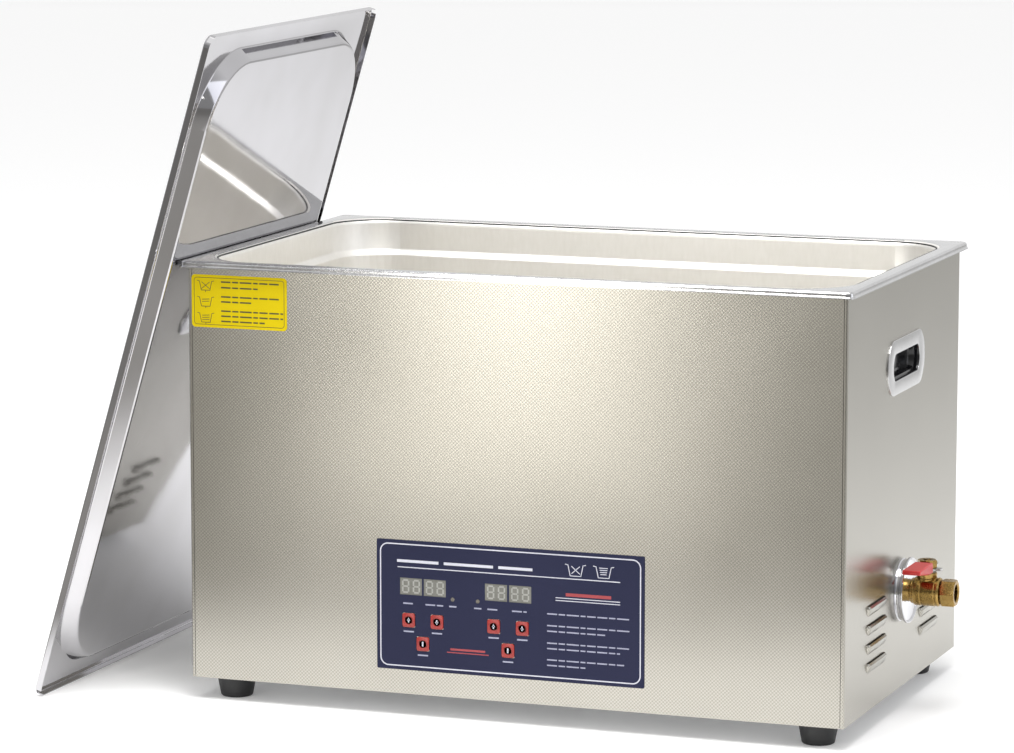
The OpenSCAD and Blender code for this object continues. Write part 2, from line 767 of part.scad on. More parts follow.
module inlet_socket() color(black) on_case() facing_rear(rear_y) translate([inlet_x, inlet_z]) {
    difference() {
        union() {
            rounded_block(inlet_plate[0], inlet_plate[1], inlet_plate_corner, inlet_plate_t);
            translate([-inlet_shell[0] / 2, -inlet_shell[1] / 2, -inlet_shell_l])
                cube([inlet_shell[0], inlet_shell[1], inlet_shell_l + cut]);
        }
        translate([-inlet_well[0] / 2, -inlet_well[1] / 2, -inlet_well[2]])
            cube([inlet_well[0], inlet_well[1], inlet_well[2] + inlet_plate_t + cut]);
        for (x = [-1, 1]) translate([x * inlet_hole_x, 0, -cut])
            cylinder(r = screw_r + screw_gap, h = inlet_plate_t + 2 * cut);
    }
    for (blade = [-1, 0, 1])
        translate([blade * inlet_blade_pitch - inlet_blade[0] / 2, blade == 0 ? 1 : -5, -inlet_well[2] - 0.5])
            cube(inlet_blade);
}

module switch_housing() color(black) on_case() facing_rear(rear_y) translate([switch_x, switch_z]) {
    difference() {
        union() {
            rounded_block(switch_flange[0], switch_flange[1], 1.5, switch_flange_t);
            translate([-switch_shell[0] / 2, -switch_shell[1] / 2, -switch_shell[2]])
                cube([switch_shell[0], switch_shell[1], switch_shell[2] + cut]);
        }
        translate([-switch_well[0] / 2, -switch_well[1] / 2, 1.5 - switch_shell[2]])
            cube([switch_well[0], switch_well[1], switch_shell[2] + switch_flange_t]);
    }
    for (x = [-1, 1]) translate([x * 10, 0, rocker_y - rear_y]) rotate([0, -90 * x, 0])
        cylinder(r = rocker_pin_r, h = 3.2);
}
module power_rocker() color("#2a2a2c") on_case() translate([switch_x, rocker_y, switch_z])
    rotate([rocker_tilt, 0, 0]) rotate([90, 0, 90]) difference() {
        translate([0, 0, -rocker_w / 2]) linear_extrude(rocker_w) intersection() {
            circle(rocker_half);
            polygon([[4.5, -12.2], [3, 0], [4.5, 12.2], [-5, 9], [-7, 0], [-5, -9]]);
        }
        translate([0, 0, -rocker_w]) cylinder(r = rocker_pin_r + stem_gap, h = 2 * rocker_w);
    }

// ---- Drain and valve ----

module drain_fitting() color(bright_steel) on_case() translate([drain_x, 0, 0]) difference() {
    union() {
        translate([0, 0, tank_floor]) cylinder(r = strainer_r, h = strainer_t);
        translate([0, 0, tail_z]) cylinder(r = pipe_r, h = tank_floor - tail_z + 1);
    }
    translate([0, 0, tail_z - cut]) cylinder(r = pipe_bore, h = tank_floor - tail_z - 1 + cut);
    for (hole = [0 : 5]) rotate(60 * hole) translate([strainer_hole_ring, 0, tank_under - cut])
        cylinder(r = strainer_hole_r, h = sheet + strainer_t + 2 * cut);
    translate([0, 0, tank_under - cut]) cylinder(r = strainer_hole_r, h = sheet + strainer_t + 2 * cut);
}

module drain_pipe() color(bright_steel) on_case() {
    translate([drain_x, 0, valve_z + bend_r]) ring(pipe_r, pipe_bore, tail_z - valve_z - bend_r);
    translate([drain_x + bend_r, 0, valve_z + bend_r]) rotate([90, 180, 0]) rotate_extrude(angle = 90)
        translate([bend_r, 0]) difference() {
            circle(pipe_r);
            circle(pipe_bore);
        }
    translate([drain_x + bend_r, 0, valve_z]) rotate([0, 90, 0])
        ring(pipe_r, pipe_bore, valve_start - drain_x - bend_r);
}

module lock_nut() difference() {
    cylinder(r = nut_r, h = nut_h, $fn = 6);
    translate([0, 0, -cut]) cylinder(r = pipe_r, h = nut_h + 2 * cut);
}
module drain_lock_nuts() color(brass) on_case() {
    translate([drain_x, 0, tank_under - nut_h]) lock_nut();
    translate([side_x - sheet - nut_h, 0, valve_z]) rotate([0, 90, 0]) lock_nut();
}

module escutcheon() color("#dcdde0") on_case() turned_along_x(side_x) polygon([[pipe_r + pipe_gap, 0],
    [escutcheon_r - 1, 0], [escutcheon_r - 2, 1.5], [escutcheon_r - 2, 3], [escutcheon_r, 4.5],
    [escutcheon_r, escutcheon_t - 0.5], [escutcheon_r - 0.8, escutcheon_t],
    [escutcheon_r - 2.5, escutcheon_t - 1.5], [pipe_r + pipe_gap, escutcheon_t - 2.5]]);

module valve_body() color(brass) on_case() difference() {
    union() {
        turned_along_x(valve_start) square([pipe_r, cavity_start - valve_start]);
        turned_along_x(cavity_start - collar_l) polygon([[0, 0], [collar_r - 0.6, 0], [collar_r, 1],
            [housing_r, collar_l + 0.5],
            [housing_r, cavity_end - cavity_start + 1], [housing_r - 1, cavity_end - cavity_start + 2.5],
            [0, cavity_end - cavity_start + 2.5]]);
        translate([stem_x, 0, valve_z]) cylinder(r = boss_r, h = boss_top - valve_z);
    }
    turned_along_x(valve_start - cut) square([pipe_bore, cavity_start - valve_start + 2 * cut]);
    turned_along_x(cavity_start) square([cavity_r, cavity_end - cavity_start + cut]);
    translate([stem_x, 0, valve_z]) cylinder(r = stem_r + stem_gap, h = boss_top - valve_z + cut);
}

module valve_end_fitting() color(brass) on_case() difference() {
    union() {
        turned_along_x(cavity_end - 4 + 0.6) square([cavity_r, 5]);
        translate([cavity_end + 0.1, 0, valve_z]) rotate([0, 90, 0]) rotate(30)
            cylinder(r = hex_r, h = valve_end - cavity_end - 0.1, $fn = 6);
    }
    turned_along_x(cavity_end - 4) square([ball_bore, valve_end - cavity_end]);
    turned_along_x(valve_end - outlet_l) square([outlet_r, outlet_l + cut]);
}

module valve_seats() color("#f2f0ea") on_case() difference() {
    for (side = [-1, 1]) translate([stem_x + side * (ball_r + 0.6 - seat_t / 2), 0, valve_z])
        rotate([0, 90, 0]) translate([0, 0, -seat_t / 2]) ring(cavity_r, ball_bore, seat_t);
    translate([stem_x, 0, valve_z]) sphere(ball_r + seat_gap);
}

module valve_ball() color("#e3e3e6") on_case() translate([stem_x, 0, valve_z]) difference() {
    sphere(ball_r);
    rotate([90, 0, 0]) cylinder(r = ball_bore, h = 4 * ball_r, center = true);
    translate([-stem_key[0] / 2 - stem_key_gap, -ball_r, ball_r - 1.8])
        cube([stem_key[0] + 2 * stem_key_gap, 2 * ball_r, 4]);
}
module valve_stem() color("#c8b27a") on_case() translate([stem_x, 0, 0]) {
    translate([-stem_key[0] / 2, -stem_key[1] / 2, valve_z + ball_r - 1.7]) cube(stem_key);
    translate([0, 0, valve_z + ball_r + 0.6]) cylinder(r = stem_r, h = lever_plate_z - valve_z - ball_r + 8);
}

lever_profile = [[-6, 0], [-10, 0], [-16, lever_top - 3.2 - lever_plate_z],
    [2 - lever_l, lever_top - 3.2 - lever_plate_z]];
module lever_plate() color("silver") on_case() translate([stem_x, 0, lever_plate_z]) difference() {
    union() {
        cylinder(r = lever_hub_r, h = lever_plate_t);
        translate([0, -lever_stop[1] / 2, 0]) cube([lever_stop[0], lever_stop[1], lever_plate_t]);
        facing_right(-lever_strap_w / 2) linear_extrude(lever_strap_w) polygon(concat(lever_profile,
            [for (i = [3 : -1 : 0]) lever_profile[i] + [0, lever_plate_t]]));
    }
    translate([0, 0, -cut]) cylinder(r = stem_r, h = lever_plate_t + 2 * cut);
}

sleeve_tip = 3.4;                         // depth of the sleeve's skirt at the tip
sleeve_hub = 8;                           // depth of the sleeve's skirt beside the hub
sleeve_t = 1.2;
module lever_sleeve() color(red) on_case() translate([stem_x, 0, lever_top]) difference() {
    facing_right(-lever_w / 2) linear_extrude(lever_w) polygon([[-lever_l, 0], [-9.5, 0],
        [-8.2, -sleeve_hub], [-18, -sleeve_hub], [-lever_l, -sleeve_tip]]);
    facing_right(-lever_w / 2 + sleeve_t) linear_extrude(lever_w - 2 * sleeve_t)
        polygon([[-lever_l + sleeve_t, -1.5], [-18, -1.5], [-8, -1.5], [0, -20], [-lever_l + sleeve_t, -20]]);
}

module lever_nut() color(brass) on_case() translate([stem_x, 0, lever_plate_z + lever_plate_t])
    difference() {
        cylinder(r = lever_nut_r, h = lever_nut_h, $fn = 6);
        translate([0, 0, -cut]) cylinder(r = stem_r, h = lever_nut_h + 2 * cut);
    }

// ---- Lid ----

module stand_lid() translate([case_x + lid_origin_x, case_y + lid_y, lid_origin_z])
    rotate([0, lid_lean - 90, 0]) translate([lid_l / 2, 0, 0]) children();

module draw_solid(inset, top_z, bottom_z) hull() {
    translate([0, 0, top_z]) rounded_block(lid_l - 2 * (draw_inset + inset),
        lid_w - 2 * (draw_inset + inset), draw_corner, draw_edge, $fn = draw_fn);
    translate([0, 0, bottom_z]) rounded_block(lid_l - 2 * (draw_inset + draw_slope + inset),
        lid_w - 2 * (draw_inset + draw_slope + inset), draw_corner - draw_slope, draw_edge, $fn = draw_fn);
}

module lid_sheet() color(bright_steel) stand_lid() difference() {
    union() {
        difference() {
            translate([0, 0, -lid_lip]) rounded_block(lid_l, lid_w, lid_corner, lid_lip);
            translate([0, 0, -lid_lip - cut]) rounded_block(lid_l - 2 * lid_sheet_t,
                lid_w - 2 * lid_sheet_t, lid_corner - lid_sheet_t, lid_lip + cut - lid_sheet_t);
        }
        draw_solid(0, -lid_sheet_t, -lid_draw);
    }
    draw_solid(lid_sheet_t, 0, lid_sheet_t - lid_draw);
}

module lid_handle() color("#b9babd") stand_lid() {
    translate([0, 0, lid_grip_z]) rotate([90, 0, 0]) cylinder(r = lid_grip_r, h = lid_grip_l, center = true);
    for (end = [-1, 1]) translate([0, end * (lid_grip_l / 2 - lid_grip_r), lid_sheet_t - lid_draw]) {
        cylinder(r = lid_grip_r, h = lid_grip_z + lid_draw - lid_sheet_t);
        cylinder(r = lid_foot_r, h = lid_foot_t);
    }
}

// ---- Every node ----

front_panel();
rear_panel();
left_side_panel();
right_side_panel();
base_plate();
tank();
rim_gasket();
panel_overlay();
notice_label();
display_temperature();
display_time();
indicator_leds();
key_temp_up();
key_temp_down();
key_heat_power();
key_time_up();
key_time_down();
key_timer_power();
key_switches();
control_board();
board_spacers();
left_handle_plate();
right_handle_plate();
left_handle_cup();
right_handle_cup();
foot_front_left();
foot_front_right();
foot_rear_left();
foot_rear_right();
case_screws();
transducer_front_masses();
transducer_piezo_rings();
transducer_back_masses();
transducer_bolts();
heater_pads();
temperature_sensor();
generator_board();
heat_sink();
drive_transformer();
capacitors();
fan_frame();
fan_guard();
fan_rotor();
inlet_socket();
switch_housing();
power_rocker();
drain_fitting();
drain_pipe();
drain_lock_nuts();
escutcheon();
valve_body();
valve_end_fitting();
valve_seats();
valve_ball();
valve_stem();
lever_plate();
lever_sleeve();
lever_nut();
lid_sheet();
lid_handle();
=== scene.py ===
import json
import math

import bmesh
import bpy
from mathutils import Matrix, Vector


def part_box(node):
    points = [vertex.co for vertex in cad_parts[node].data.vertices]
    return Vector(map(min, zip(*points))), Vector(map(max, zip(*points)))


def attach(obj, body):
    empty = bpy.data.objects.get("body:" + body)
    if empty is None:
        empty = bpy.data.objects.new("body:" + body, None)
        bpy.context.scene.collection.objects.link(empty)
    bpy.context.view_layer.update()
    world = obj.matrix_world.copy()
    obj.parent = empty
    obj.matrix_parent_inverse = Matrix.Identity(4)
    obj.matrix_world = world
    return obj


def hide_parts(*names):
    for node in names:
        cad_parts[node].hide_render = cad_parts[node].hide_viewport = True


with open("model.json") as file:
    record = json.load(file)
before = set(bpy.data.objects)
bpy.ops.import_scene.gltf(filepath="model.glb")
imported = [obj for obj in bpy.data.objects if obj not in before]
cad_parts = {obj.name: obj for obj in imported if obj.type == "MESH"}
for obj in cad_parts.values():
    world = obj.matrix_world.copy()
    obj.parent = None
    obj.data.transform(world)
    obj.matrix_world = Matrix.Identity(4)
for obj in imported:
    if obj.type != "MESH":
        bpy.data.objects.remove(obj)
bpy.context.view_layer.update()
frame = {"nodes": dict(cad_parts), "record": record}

MM = 0.001
UP = Vector((0, 0, 1))


# ---- Places and sizes taken from the frame, in millimetres ----

def corners(node):
    """Lowest and highest corner of a CAD node."""
    low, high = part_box(node)
    return low / MM, high / MM


def centre(node):
    """Middle of a CAD node."""
    low, high = corners(node)
    return (low + high) / 2


def size(node):
    """Length, width and height of a CAD node."""
    low, high = corners(node)
    return high - low


def stand(outward, origin=(0, 0, 0)):
    """Place of a piece made flat: its height turns to face outward and its Y turns to point up."""
    outward = Vector(outward)
    turn = Matrix((UP.cross(outward), UP, outward)).transposed().to_4x4()
    return Matrix.Translation(Vector(origin)) @ turn


case_mid = centre("tank").xy.to_3d()
rim_size = size("tank")
rim_top = corners("tank")[1].z
front_y = corners("front_panel")[0].y
rear_y = corners("rear_panel")[1].y
panel_low = corners("front_panel")[0].z
panel_high = corners("front_panel")[1].z
case_half_d = (rear_y - front_y) / 2
side_half = corners("right_handle_plate")[0].x - case_mid.x
FRONT = stand((0, -1, 0), (case_mid.x, front_y, 0))
RIGHT = stand((1, 0, 0), (case_mid.x + side_half, case_mid.y, 0))
LEFT = stand((-1, 0, 0), (case_mid.x - side_half, case_mid.y, 0))


# ---- Camera ----

VIEW_TURN = math.radians(20.38)
VIEW_LIFT = math.radians(8.63)
VIEW_DISTANCE = 3557.5
VIEW_AIM = Vector((case_mid.x - 59.75, case_mid.y, 237.88))
LENS = 163.07

camera = bpy.data.objects.new("camera", bpy.data.cameras.new("camera"))
bpy.context.collection.objects.link(camera)
bpy.context.scene.camera = camera
camera.data.sensor_width = 36
camera.data.lens = LENS
camera.data.clip_start = 0.1
camera.data.clip_end = 60
towards_camera = Vector((math.sin(VIEW_TURN) * math.cos(VIEW_LIFT),
                         -math.cos(VIEW_TURN) * math.cos(VIEW_LIFT), math.sin(VIEW_LIFT)))
camera.location = (VIEW_AIM + VIEW_DISTANCE * towards_camera) * MM
camera.rotation_euler = towards_camera.to_track_quat("Z", "Y").to_euler()


# ---- Materials ----

def linear(code):
    """Turns an sRGB hex colour into linear red, green, blue and alpha."""
    shades = [int(code[i:i + 2], 16) / 255 for i in (1, 3, 5)]
    return [s / 12.92 if s <= 0.04045 else ((s + 0.055) / 1.055) ** 2.4 for s in shades] + [1.0]


def add(tree, kind, inputs=None, **settings):
    """Adds a node, sets its properties, and sets or links each of its inputs."""
    node = tree.nodes.new(kind)
    for name, value in settings.items():
        setattr(node, name, value)
    for name, value in (inputs or {}).items():
        if isinstance(value, bpy.types.NodeSocket):
            tree.links.new(value, node.inputs[name])
        else:
            node.inputs[name].default_value = value
    return node


def start_material(name, **sockets):
    """Makes a material with one Principled shader, and returns it with its tree, shader and coordinates."""
    made = bpy.data.materials.new(name)
    made.use_nodes = True
    tree = made.node_tree
    tree.nodes.clear()
    surface = add(tree, "ShaderNodeBsdfPrincipled", {k.replace("_", " "): v for k, v in sockets.items()})
    add(tree, "ShaderNodeOutputMaterial", {"Surface": surface.outputs["BSDF"]})
    place = add(tree, "ShaderNodeTexCoord").outputs["Object"]
    return made, tree, surface, place


def mottle(name, dark, light, roughness, grain, depth=0.0, cloud=40.0, stretch=(1, 1, 1), **sockets):
    """A finish that drifts between two colours and two roughnesses in soft clouds, with a fine grain.

    grain and cloud are the sizes in millimetres of the grain and of the clouds, depth is how deep the
    grain is, and stretch draws the grain out along an axis where it is below 1.
    """
    made, tree, surface, place = start_material(name, **sockets)
    clouds = add(tree, "ShaderNodeTexNoise", {"Vector": place, "Scale": 1 / (cloud * MM), "Detail": 3.0})
    drawn = add(tree, "ShaderNodeMapping", {"Vector": place, "Scale": stretch})
    fine = add(tree, "ShaderNodeTexNoise",
               {"Vector": drawn.outputs["Vector"], "Scale": 1 / (grain * MM), "Detail": 2.0})
    blend = add(tree, "ShaderNodeMath", {0: clouds.outputs["Fac"], 1: fine.outputs["Fac"]}, operation="ADD")
    spread = add(tree, "ShaderNodeMapRange", {"Value": blend.outputs[0], "From Min": 0.7, "From Max": 1.3})
    colour = add(tree, "ShaderNodeMix",
                 {"Factor": spread.outputs["Result"], "A": linear(dark), "B": linear(light)},
                 data_type="RGBA")
    tree.links.new(colour.outputs["Result"], surface.inputs["Base Color"])
    gloss = add(tree, "ShaderNodeMapRange", {"Value": spread.outputs["Result"],
                                             "To Min": roughness[0], "To Max": roughness[1]})
    tree.links.new(gloss.outputs["Result"], surface.inputs["Roughness"])
    if depth:
        bump = add(tree, "ShaderNodeBump", {"Height": fine.outputs["Fac"], "Distance": depth * MM})
        tree.links.new(bump.outputs["Normal"], surface.inputs["Normal"])
    return made


# Dots stand one pitch apart along a row, and each row is half a pitch out of line with the next
EMBOSS_PITCH = 2.8
EMBOSS_ROW = 1.35
EMBOSS_DEPTH = 0.010
EMBOSS_PAINTED_SHADE = 0.36
SHEET_CLOUD = 90


def embossed_steel():
    """Stainless sheet rolled between patterned rolls: a fine check of dots that sparkles softly, whose relief
    is also painted into its colour as painted shade.
    """
    made, tree, surface, place = start_material("stainless_steel_embossed", Metallic=1.0)
    part = add(tree, "ShaderNodeSeparateXYZ", {"Vector": place})
    along = add(tree, "ShaderNodeMath", {0: part.outputs["X"], 1: part.outputs["Y"]}, operation="ADD")
    waves = []
    for run, pitch in ((along.outputs[0], EMBOSS_PITCH), (part.outputs["Z"], 2 * EMBOSS_ROW)):
        turns = add(tree, "ShaderNodeMath", {0: run, 1: math.tau / (pitch * MM)}, operation="MULTIPLY")
        waves.append(add(tree, "ShaderNodeMath", {0: turns.outputs[0]}, operation="COSINE").outputs[0])
    dots = add(tree, "ShaderNodeMath", {0: waves[0], 1: waves[1]}, operation="MULTIPLY")
    bump = add(tree, "ShaderNodeBump", {"Height": dots.outputs[0], "Distance": EMBOSS_DEPTH * MM / 2})
    tree.links.new(bump.outputs["Normal"], surface.inputs["Normal"])
    drift = add(tree, "ShaderNodeTexNoise",
                {"Vector": place, "Scale": 1 / (SHEET_CLOUD * MM), "Detail": 2.0})
    # Painted shade: the dots' relief is painted into the colour as lighter and darker spots, on top of their
    # slight bump; the drift added next is the sheet's own uneven tone
    painted_shade_and_drift = add(tree, "ShaderNodeMath", {0: dots.outputs[0], 1: EMBOSS_PAINTED_SHADE, 2: 0.5},
                operation="MULTIPLY_ADD")
    painted_shade_and_drift = add(tree, "ShaderNodeMath", {0: drift.outputs["Fac"], 1: 0.25, 2: painted_shade_and_drift.outputs[0]},
                operation="MULTIPLY_ADD")
    colour = add(tree, "ShaderNodeMix",
                 {"Factor": painted_shade_and_drift.outputs[0], "A": linear("#858279"), "B": linear("#BAB7AF")},
                 data_type="RGBA")
    tree.links.new(colour.outputs["Result"], surface.inputs["Base Color"])
    gloss = add(tree, "ShaderNodeMapRange", {"Value": drift.outputs["Fac"], "To Min": 0.24, "To Max": 0.28})
    tree.links.new(gloss.outputs["Result"], surface.inputs["Roughness"])
    return made



FINISHES = {
    "embossed_steel": embossed_steel(),
    # Mill-finished and zinc-plated steel is grey, with a fine directional grain
    "plain_steel": mottle("steel_zinc_plated", "#A9A9A8", "#C6C7C8", (0.30, 0.42), 0.8, 0.01, Metallic=1.0),
    # A deep-drawn tank keeps a satin skin that is drawn out upwards and shines softly
    "tank_steel": mottle("stainless_steel_deep_drawn", "#ECEAE5", "#F2F0EC", (0.46, 0.52), 3, 0.0,
                         cloud=90, stretch=(1, 1, 0.3), Metallic=1.0),
    # Buffed sheet reflects its surroundings a little blurred
    "polished_steel": mottle("stainless_steel_polished", "#C0C0C0", "#D2D2D3", (0.12, 0.20), 2.0, 0.004,
                             Metallic=1.0),
    # Mirror-polished sheet is never quite flat, so what it reflects bends a little
    "mirror_steel": mottle("stainless_steel_mirror_polished", "#BBBABC", "#C2C1C4", (0.05, 0.08), 60, 0.10,
                           cloud=120, Metallic=1.0),
    # Chrome on smooth steel gives a cold, nearly sharp reflection
    "chrome_plate": mottle("steel_chrome_plated", "#CBCBCE", "#D9D9DC", (0.04, 0.09), 6, 0.004,
                           Metallic=1.0),
    # Turned and tumbled brass: yellow-brown, bright on its edges, with a grainy as-cast skin
    "brass": mottle("brass_turned", "#8C6F3A", "#B4965A", (0.18, 0.32), 0.9, 0.04, cloud=6, Metallic=1.0),
    # Turned aluminium is pale and even, with a fine satin grain
    "aluminium": mottle("aluminium_turned", "#B4B6B9", "#CDCFD2", (0.25, 0.35), 0.6, 0.01, Metallic=1.0),
    # Oil-blackened steel is charcoal with a low sheen
    "dark_steel": mottle("steel_blackened", "#2A2A2C", "#3C3C40", (0.35, 0.5), 0.7, 0.01, Metallic=1.0),
    # Silvered ceramic is cream and faintly glossy
    "piezo_ceramic": mottle("piezo_ceramic_silvered", "#C9C0A4", "#DDD6BC", (0.35, 0.5), 1.0, 0.01),
    # Moulded rubber is nearly black, and dusty and dull
    "black_rubber": mottle("rubber_moulded", "#151516", "#242425", (0.45, 0.62), 0.7, 0.03),
    # Spark-textured ABS is dark grey with a soft sheen
    "black_plastic": mottle("abs_moulded", "#1B1B1C", "#272729", (0.38, 0.5), 0.5, 0.02),
    # ABS from a polished mould shines sharply
    "gloss_black_plastic": mottle("abs_gloss_moulded", "#0E0E10", "#18181B", (0.08, 0.16), 12, 0.02),
    # Screen-printed polyester film: a dense violet-blue with a low satin shine
    "overlay_film": mottle("polyester_film_printed", "#292B3F", "#2E3045", (0.45, 0.52), 0.5, 0.002,
                           cloud=120, Specular_IOR_Level=0.03),
    # Printed vinyl is a strong flat yellow with a low sheen
    "label_film": mottle("vinyl_film_printed", "#CDB60A", "#D6C00E", (0.40, 0.48), 0.6, 0.002,
                         Specular_IOR_Level=0.1),
    # Smoked acrylic over unlit digits looks grey
    "display_window": mottle("acrylic_smoked", "#6A6A64", "#777771", (0.18, 0.26), 3.0, 0.004),
    # An unlit epoxy lens is a dull translucent grey-brown
    "led_lens": mottle("epoxy_lens", "#57534F", "#6B665E", (0.2, 0.3), 1.0, 0.004),
    # Embossed polyester over the switches is a deep red with a soft shine
    "red_key": mottle("polyester_film_red", "#8E2420", "#9A2B26", (0.28, 0.36), 0.5, 0.01),
    # Dipped PVC: soft red with a rounded waxy shine
    "red_sleeve": mottle("pvc_dipped", "#BC2E30", "#CC3F3C", (0.32, 0.42), 0.8, 0.03,
                         Specular_IOR_Level=0.4),
    # Solder resist on glass epoxy is green with a waxy gloss
    "circuit_board": mottle("glass_epoxy_board", "#1F5A38", "#2C6E46", (0.3, 0.45), 2.0, 0.03),
    # Silicone sheet is brick red and dull
    "silicone_pad": mottle("silicone_rubber", "#A64A26", "#B95B33", (0.5, 0.65), 0.8, 0.03),
    # Pressed ferrite is a dull brown-black
    "transformer_core": mottle("ferrite_core", "#2B2826", "#3D3936", (0.4, 0.55), 0.8, 0.02),
    # Shrink sleeve is tight, blue and glossy
    "capacitor_sleeve": mottle("pvc_shrink_sleeve", "#1E3A5C", "#294A70", (0.25, 0.35), 1.5, 0.01),
    # Turned PTFE is milk white and waxy
    "ptfe": mottle("ptfe_turned", "#ECEAE2", "#F6F4EE", (0.35, 0.45), 0.6, 0.01),
}
# Screen-printed inks are even and dull, with a faint edge of the mesh
WHITE_INK = mottle("ink_white", "#B9BAC6", "#C9CAD4", (0.4, 0.5), 0.6, 0.004)
SOFT_INK = mottle("ink_pale_grey", "#8E90A6", "#9C9EB2", (0.4, 0.5), 0.6, 0.004)
RED_INK = mottle("ink_red", "#8F3238", "#9C3A3E", (0.4, 0.5), 0.6, 0.004)
BLACK_INK = mottle("ink_black", "#4A4310", "#58501A", (0.4, 0.5), 0.6, 0.004)
DARK_INK = mottle("ink_dark_red", "#7A2624", "#862C2A", (0.4, 0.5), 0.6, 0.004)
KEY_DISC_INK = mottle("ink_dull_maroon", "#5E3236", "#68393D", (0.3, 0.4), 0.6, 0.004)
# The bars of an unlit digit show through the window a little paler than it
SEGMENT = mottle("acrylic_segment", "#8A8A86", "#969691", (0.3, 0.4), 1.0, 0.004)

for part in frame["record"]["subparts"]:
    node = frame["nodes"][part["node"]]
    node.data.materials.clear()
    node.data.materials.append(FINISHES[part["material_slot"]])


# ---- Shaping ----

MERGE = 0.0005


def rounded_loop(bm, length, width, radius, height=0.0, middle=(0.0, 0.0), segments=8):
    """Adds the outline of a rounded rectangle that lies flat, and returns its edges."""
    known = set(bm.edges)
    verts = bmesh.ops.create_grid(bm, x_segments=1, y_segments=1, size=0.5)["verts"]
    bmesh.ops.scale(bm, vec=(length, width, 1), verts=verts)
    bmesh.ops.translate(bm, vec=(middle[0], middle[1], height), verts=verts)
    if radius:
        bmesh.ops.bevel(bm, geom=verts, affect="VERTICES", offset=radius, segments=segments,
                        profile=0.5, material=-1)
    return leave_outline(bm, known)


def up_facing(bm, lowest=False):
    """Turns an open sheet so that its middle face, or its lowest one, looks up."""
    bmesh.ops.recalc_face_normals(bm, faces=bm.faces[:])
    if lowest:
        chosen = min(bm.faces, key=lambda face: face.calc_center_median().z)
    else:
        chosen = min(bm.faces, key=lambda face: face.calc_center_median().xy.length)
    if chosen.normal.z < 0:
        bmesh.ops.reverse_faces(bm, faces=bm.faces[:])


def leave_outline(bm, known):
    """Deletes the face that has just been made, but keeps its edges, and returns them."""
    edges = [edge for edge in bm.edges if edge not in known]
    faces = {face for edge in edges for face in edge.link_faces}
    bmesh.ops.delete(bm, geom=list(faces), context="FACES_ONLY")
    return edges


def round_loop(bm, radius, height=0.0, middle=(0.0, 0.0), segments=32):
    """Adds a circle that lies flat, and returns its edges."""
    known = set(bm.edges)
    bmesh.ops.create_circle(bm, radius=radius, segments=segments,
                            matrix=Matrix.Translation((middle[0], middle[1], height)))
    return [edge for edge in bm.edges if edge not in known]


def bulged_loop(bm, length, width, end_radius, soften, height=0.0):
    """Adds an oblong whose ends are arcs flatter than half circles, and returns its edges."""
    known = set(bm.edges)
    spread = math.asin(width / 2 / end_radius)
    ends = []
    for side in (1, -1):
        middle = Vector((side * (length / 2 - end_radius), 0, height))
        start = bm.verts.new(middle + side * end_radius * Vector((math.cos(spread), -math.sin(spread), 0)))
        spun = bmesh.ops.spin(bm, geom=[start], cent=middle, axis=(0, 0, 1), angle=2 * spread, steps=10)
        ends.append((start, spun["geom_last"][0]))
    bm.edges.new((ends[0][1], ends[1][0]))
    bm.edges.new((ends[1][1], ends[0][0]))
    edges = [edge for edge in bm.edges if edge not in known]
    bmesh.ops.edgeloop_fill(bm, edges=edges)
    bmesh.ops.bevel(bm, geom=[vert for end in ends for vert in end], affect="VERTICES", offset=soften,
                    segments=4, profile=0.5, material=-1)
    return leave_outline(bm, known)


def bridge(bm, loops):
    """Joins each outline to the next with a band of faces."""
    for near, far in zip(loops, loops[1:]):
        bmesh.ops.bridge_loops(bm, edges=near + far)
    return loops


def loft(bm, sections, segments=8):
    """Joins rounded rectangles, each a length, width, corner radius and height."""
    return bridge(bm, [rounded_loop(bm, *section, segments=segments) for section in sections])


def grown(length, width, radius, profile):
    """Sections of a profile that follows an outline: each point is how far it grows, and its height."""
    return [(length + 2 * out, width + 2 * out, radius + out, height) for out, height in profile]


def arc(middle, radius, start, end, steps=4):
    """Points along an arc of a profile, from one angle to another in degrees."""
    angles = [math.radians(start + (end - start) * step / steps) for step in range(steps + 1)]
    return [(middle[0] + radius * math.cos(a), middle[1] + radius * math.sin(a)) for a in angles]


def cover(bm, edges):
    """Fills the ground between outlines that lie in one plane."""
    bmesh.ops.triangle_fill(bm, use_beauty=True, use_dissolve=False, edges=edges)


def raise_sheet(bm, height):
    """Gives a flat sheet a thickness."""
    raised = bmesh.ops.extrude_face_region(bm, geom=bm.faces[:])
    verts = [part for part in raised["geom"] if isinstance(part, bmesh.types.BMVert)]
    bmesh.ops.translate(bm, vec=(0, 0, height), verts=verts)
    bmesh.ops.recalc_face_normals(bm, faces=bm.faces[:])


def ease_edges(bm, amount, sharper=40.0, segments=2, above=None):
    """Bevels the edges that turn by more than an angle."""
    limit = math.radians(sharper)
    edges = [edge for edge in bm.edges if len(edge.link_faces) == 2 and edge.calc_face_angle() > limit
             and (above is None or min(v.co.z for v in edge.verts) > above)]
    bmesh.ops.bevel(bm, geom=edges, affect="EDGES", offset=amount, segments=segments, profile=0.5,
                    material=-1, clamp_overlap=True)


def block(bm, low, high, turn=Matrix.Identity(4)):
    """Adds a box between two corners."""
    low, high = Vector(low), Vector(high)
    place = Matrix.Translation((low + high) / 2) @ Matrix.Diagonal((high - low).to_4d())
    bmesh.ops.create_cube(bm, size=1, matrix=turn @ place)


# Printed ink is a few hundredths of a millimetre thick; it is drawn thicker, so that it shows
PRINT_T = 0.06


def stroke(bm, start, end, width, height=0.0, ink=PRINT_T):
    """Adds a straight printed line."""
    start, end = Vector((*start, 0)), Vector((*end, 0))
    run = end - start
    turn = Matrix.Rotation(math.atan2(run.y, run.x), 4, "Z")
    middle = (start + end) / 2 + Vector((0, 0, height + ink / 2))
    bmesh.ops.create_cube(bm, size=1, matrix=Matrix.Translation(middle) @ turn
                          @ Matrix.Diagonal((run.length + width * 0.6, width, ink, 1)))


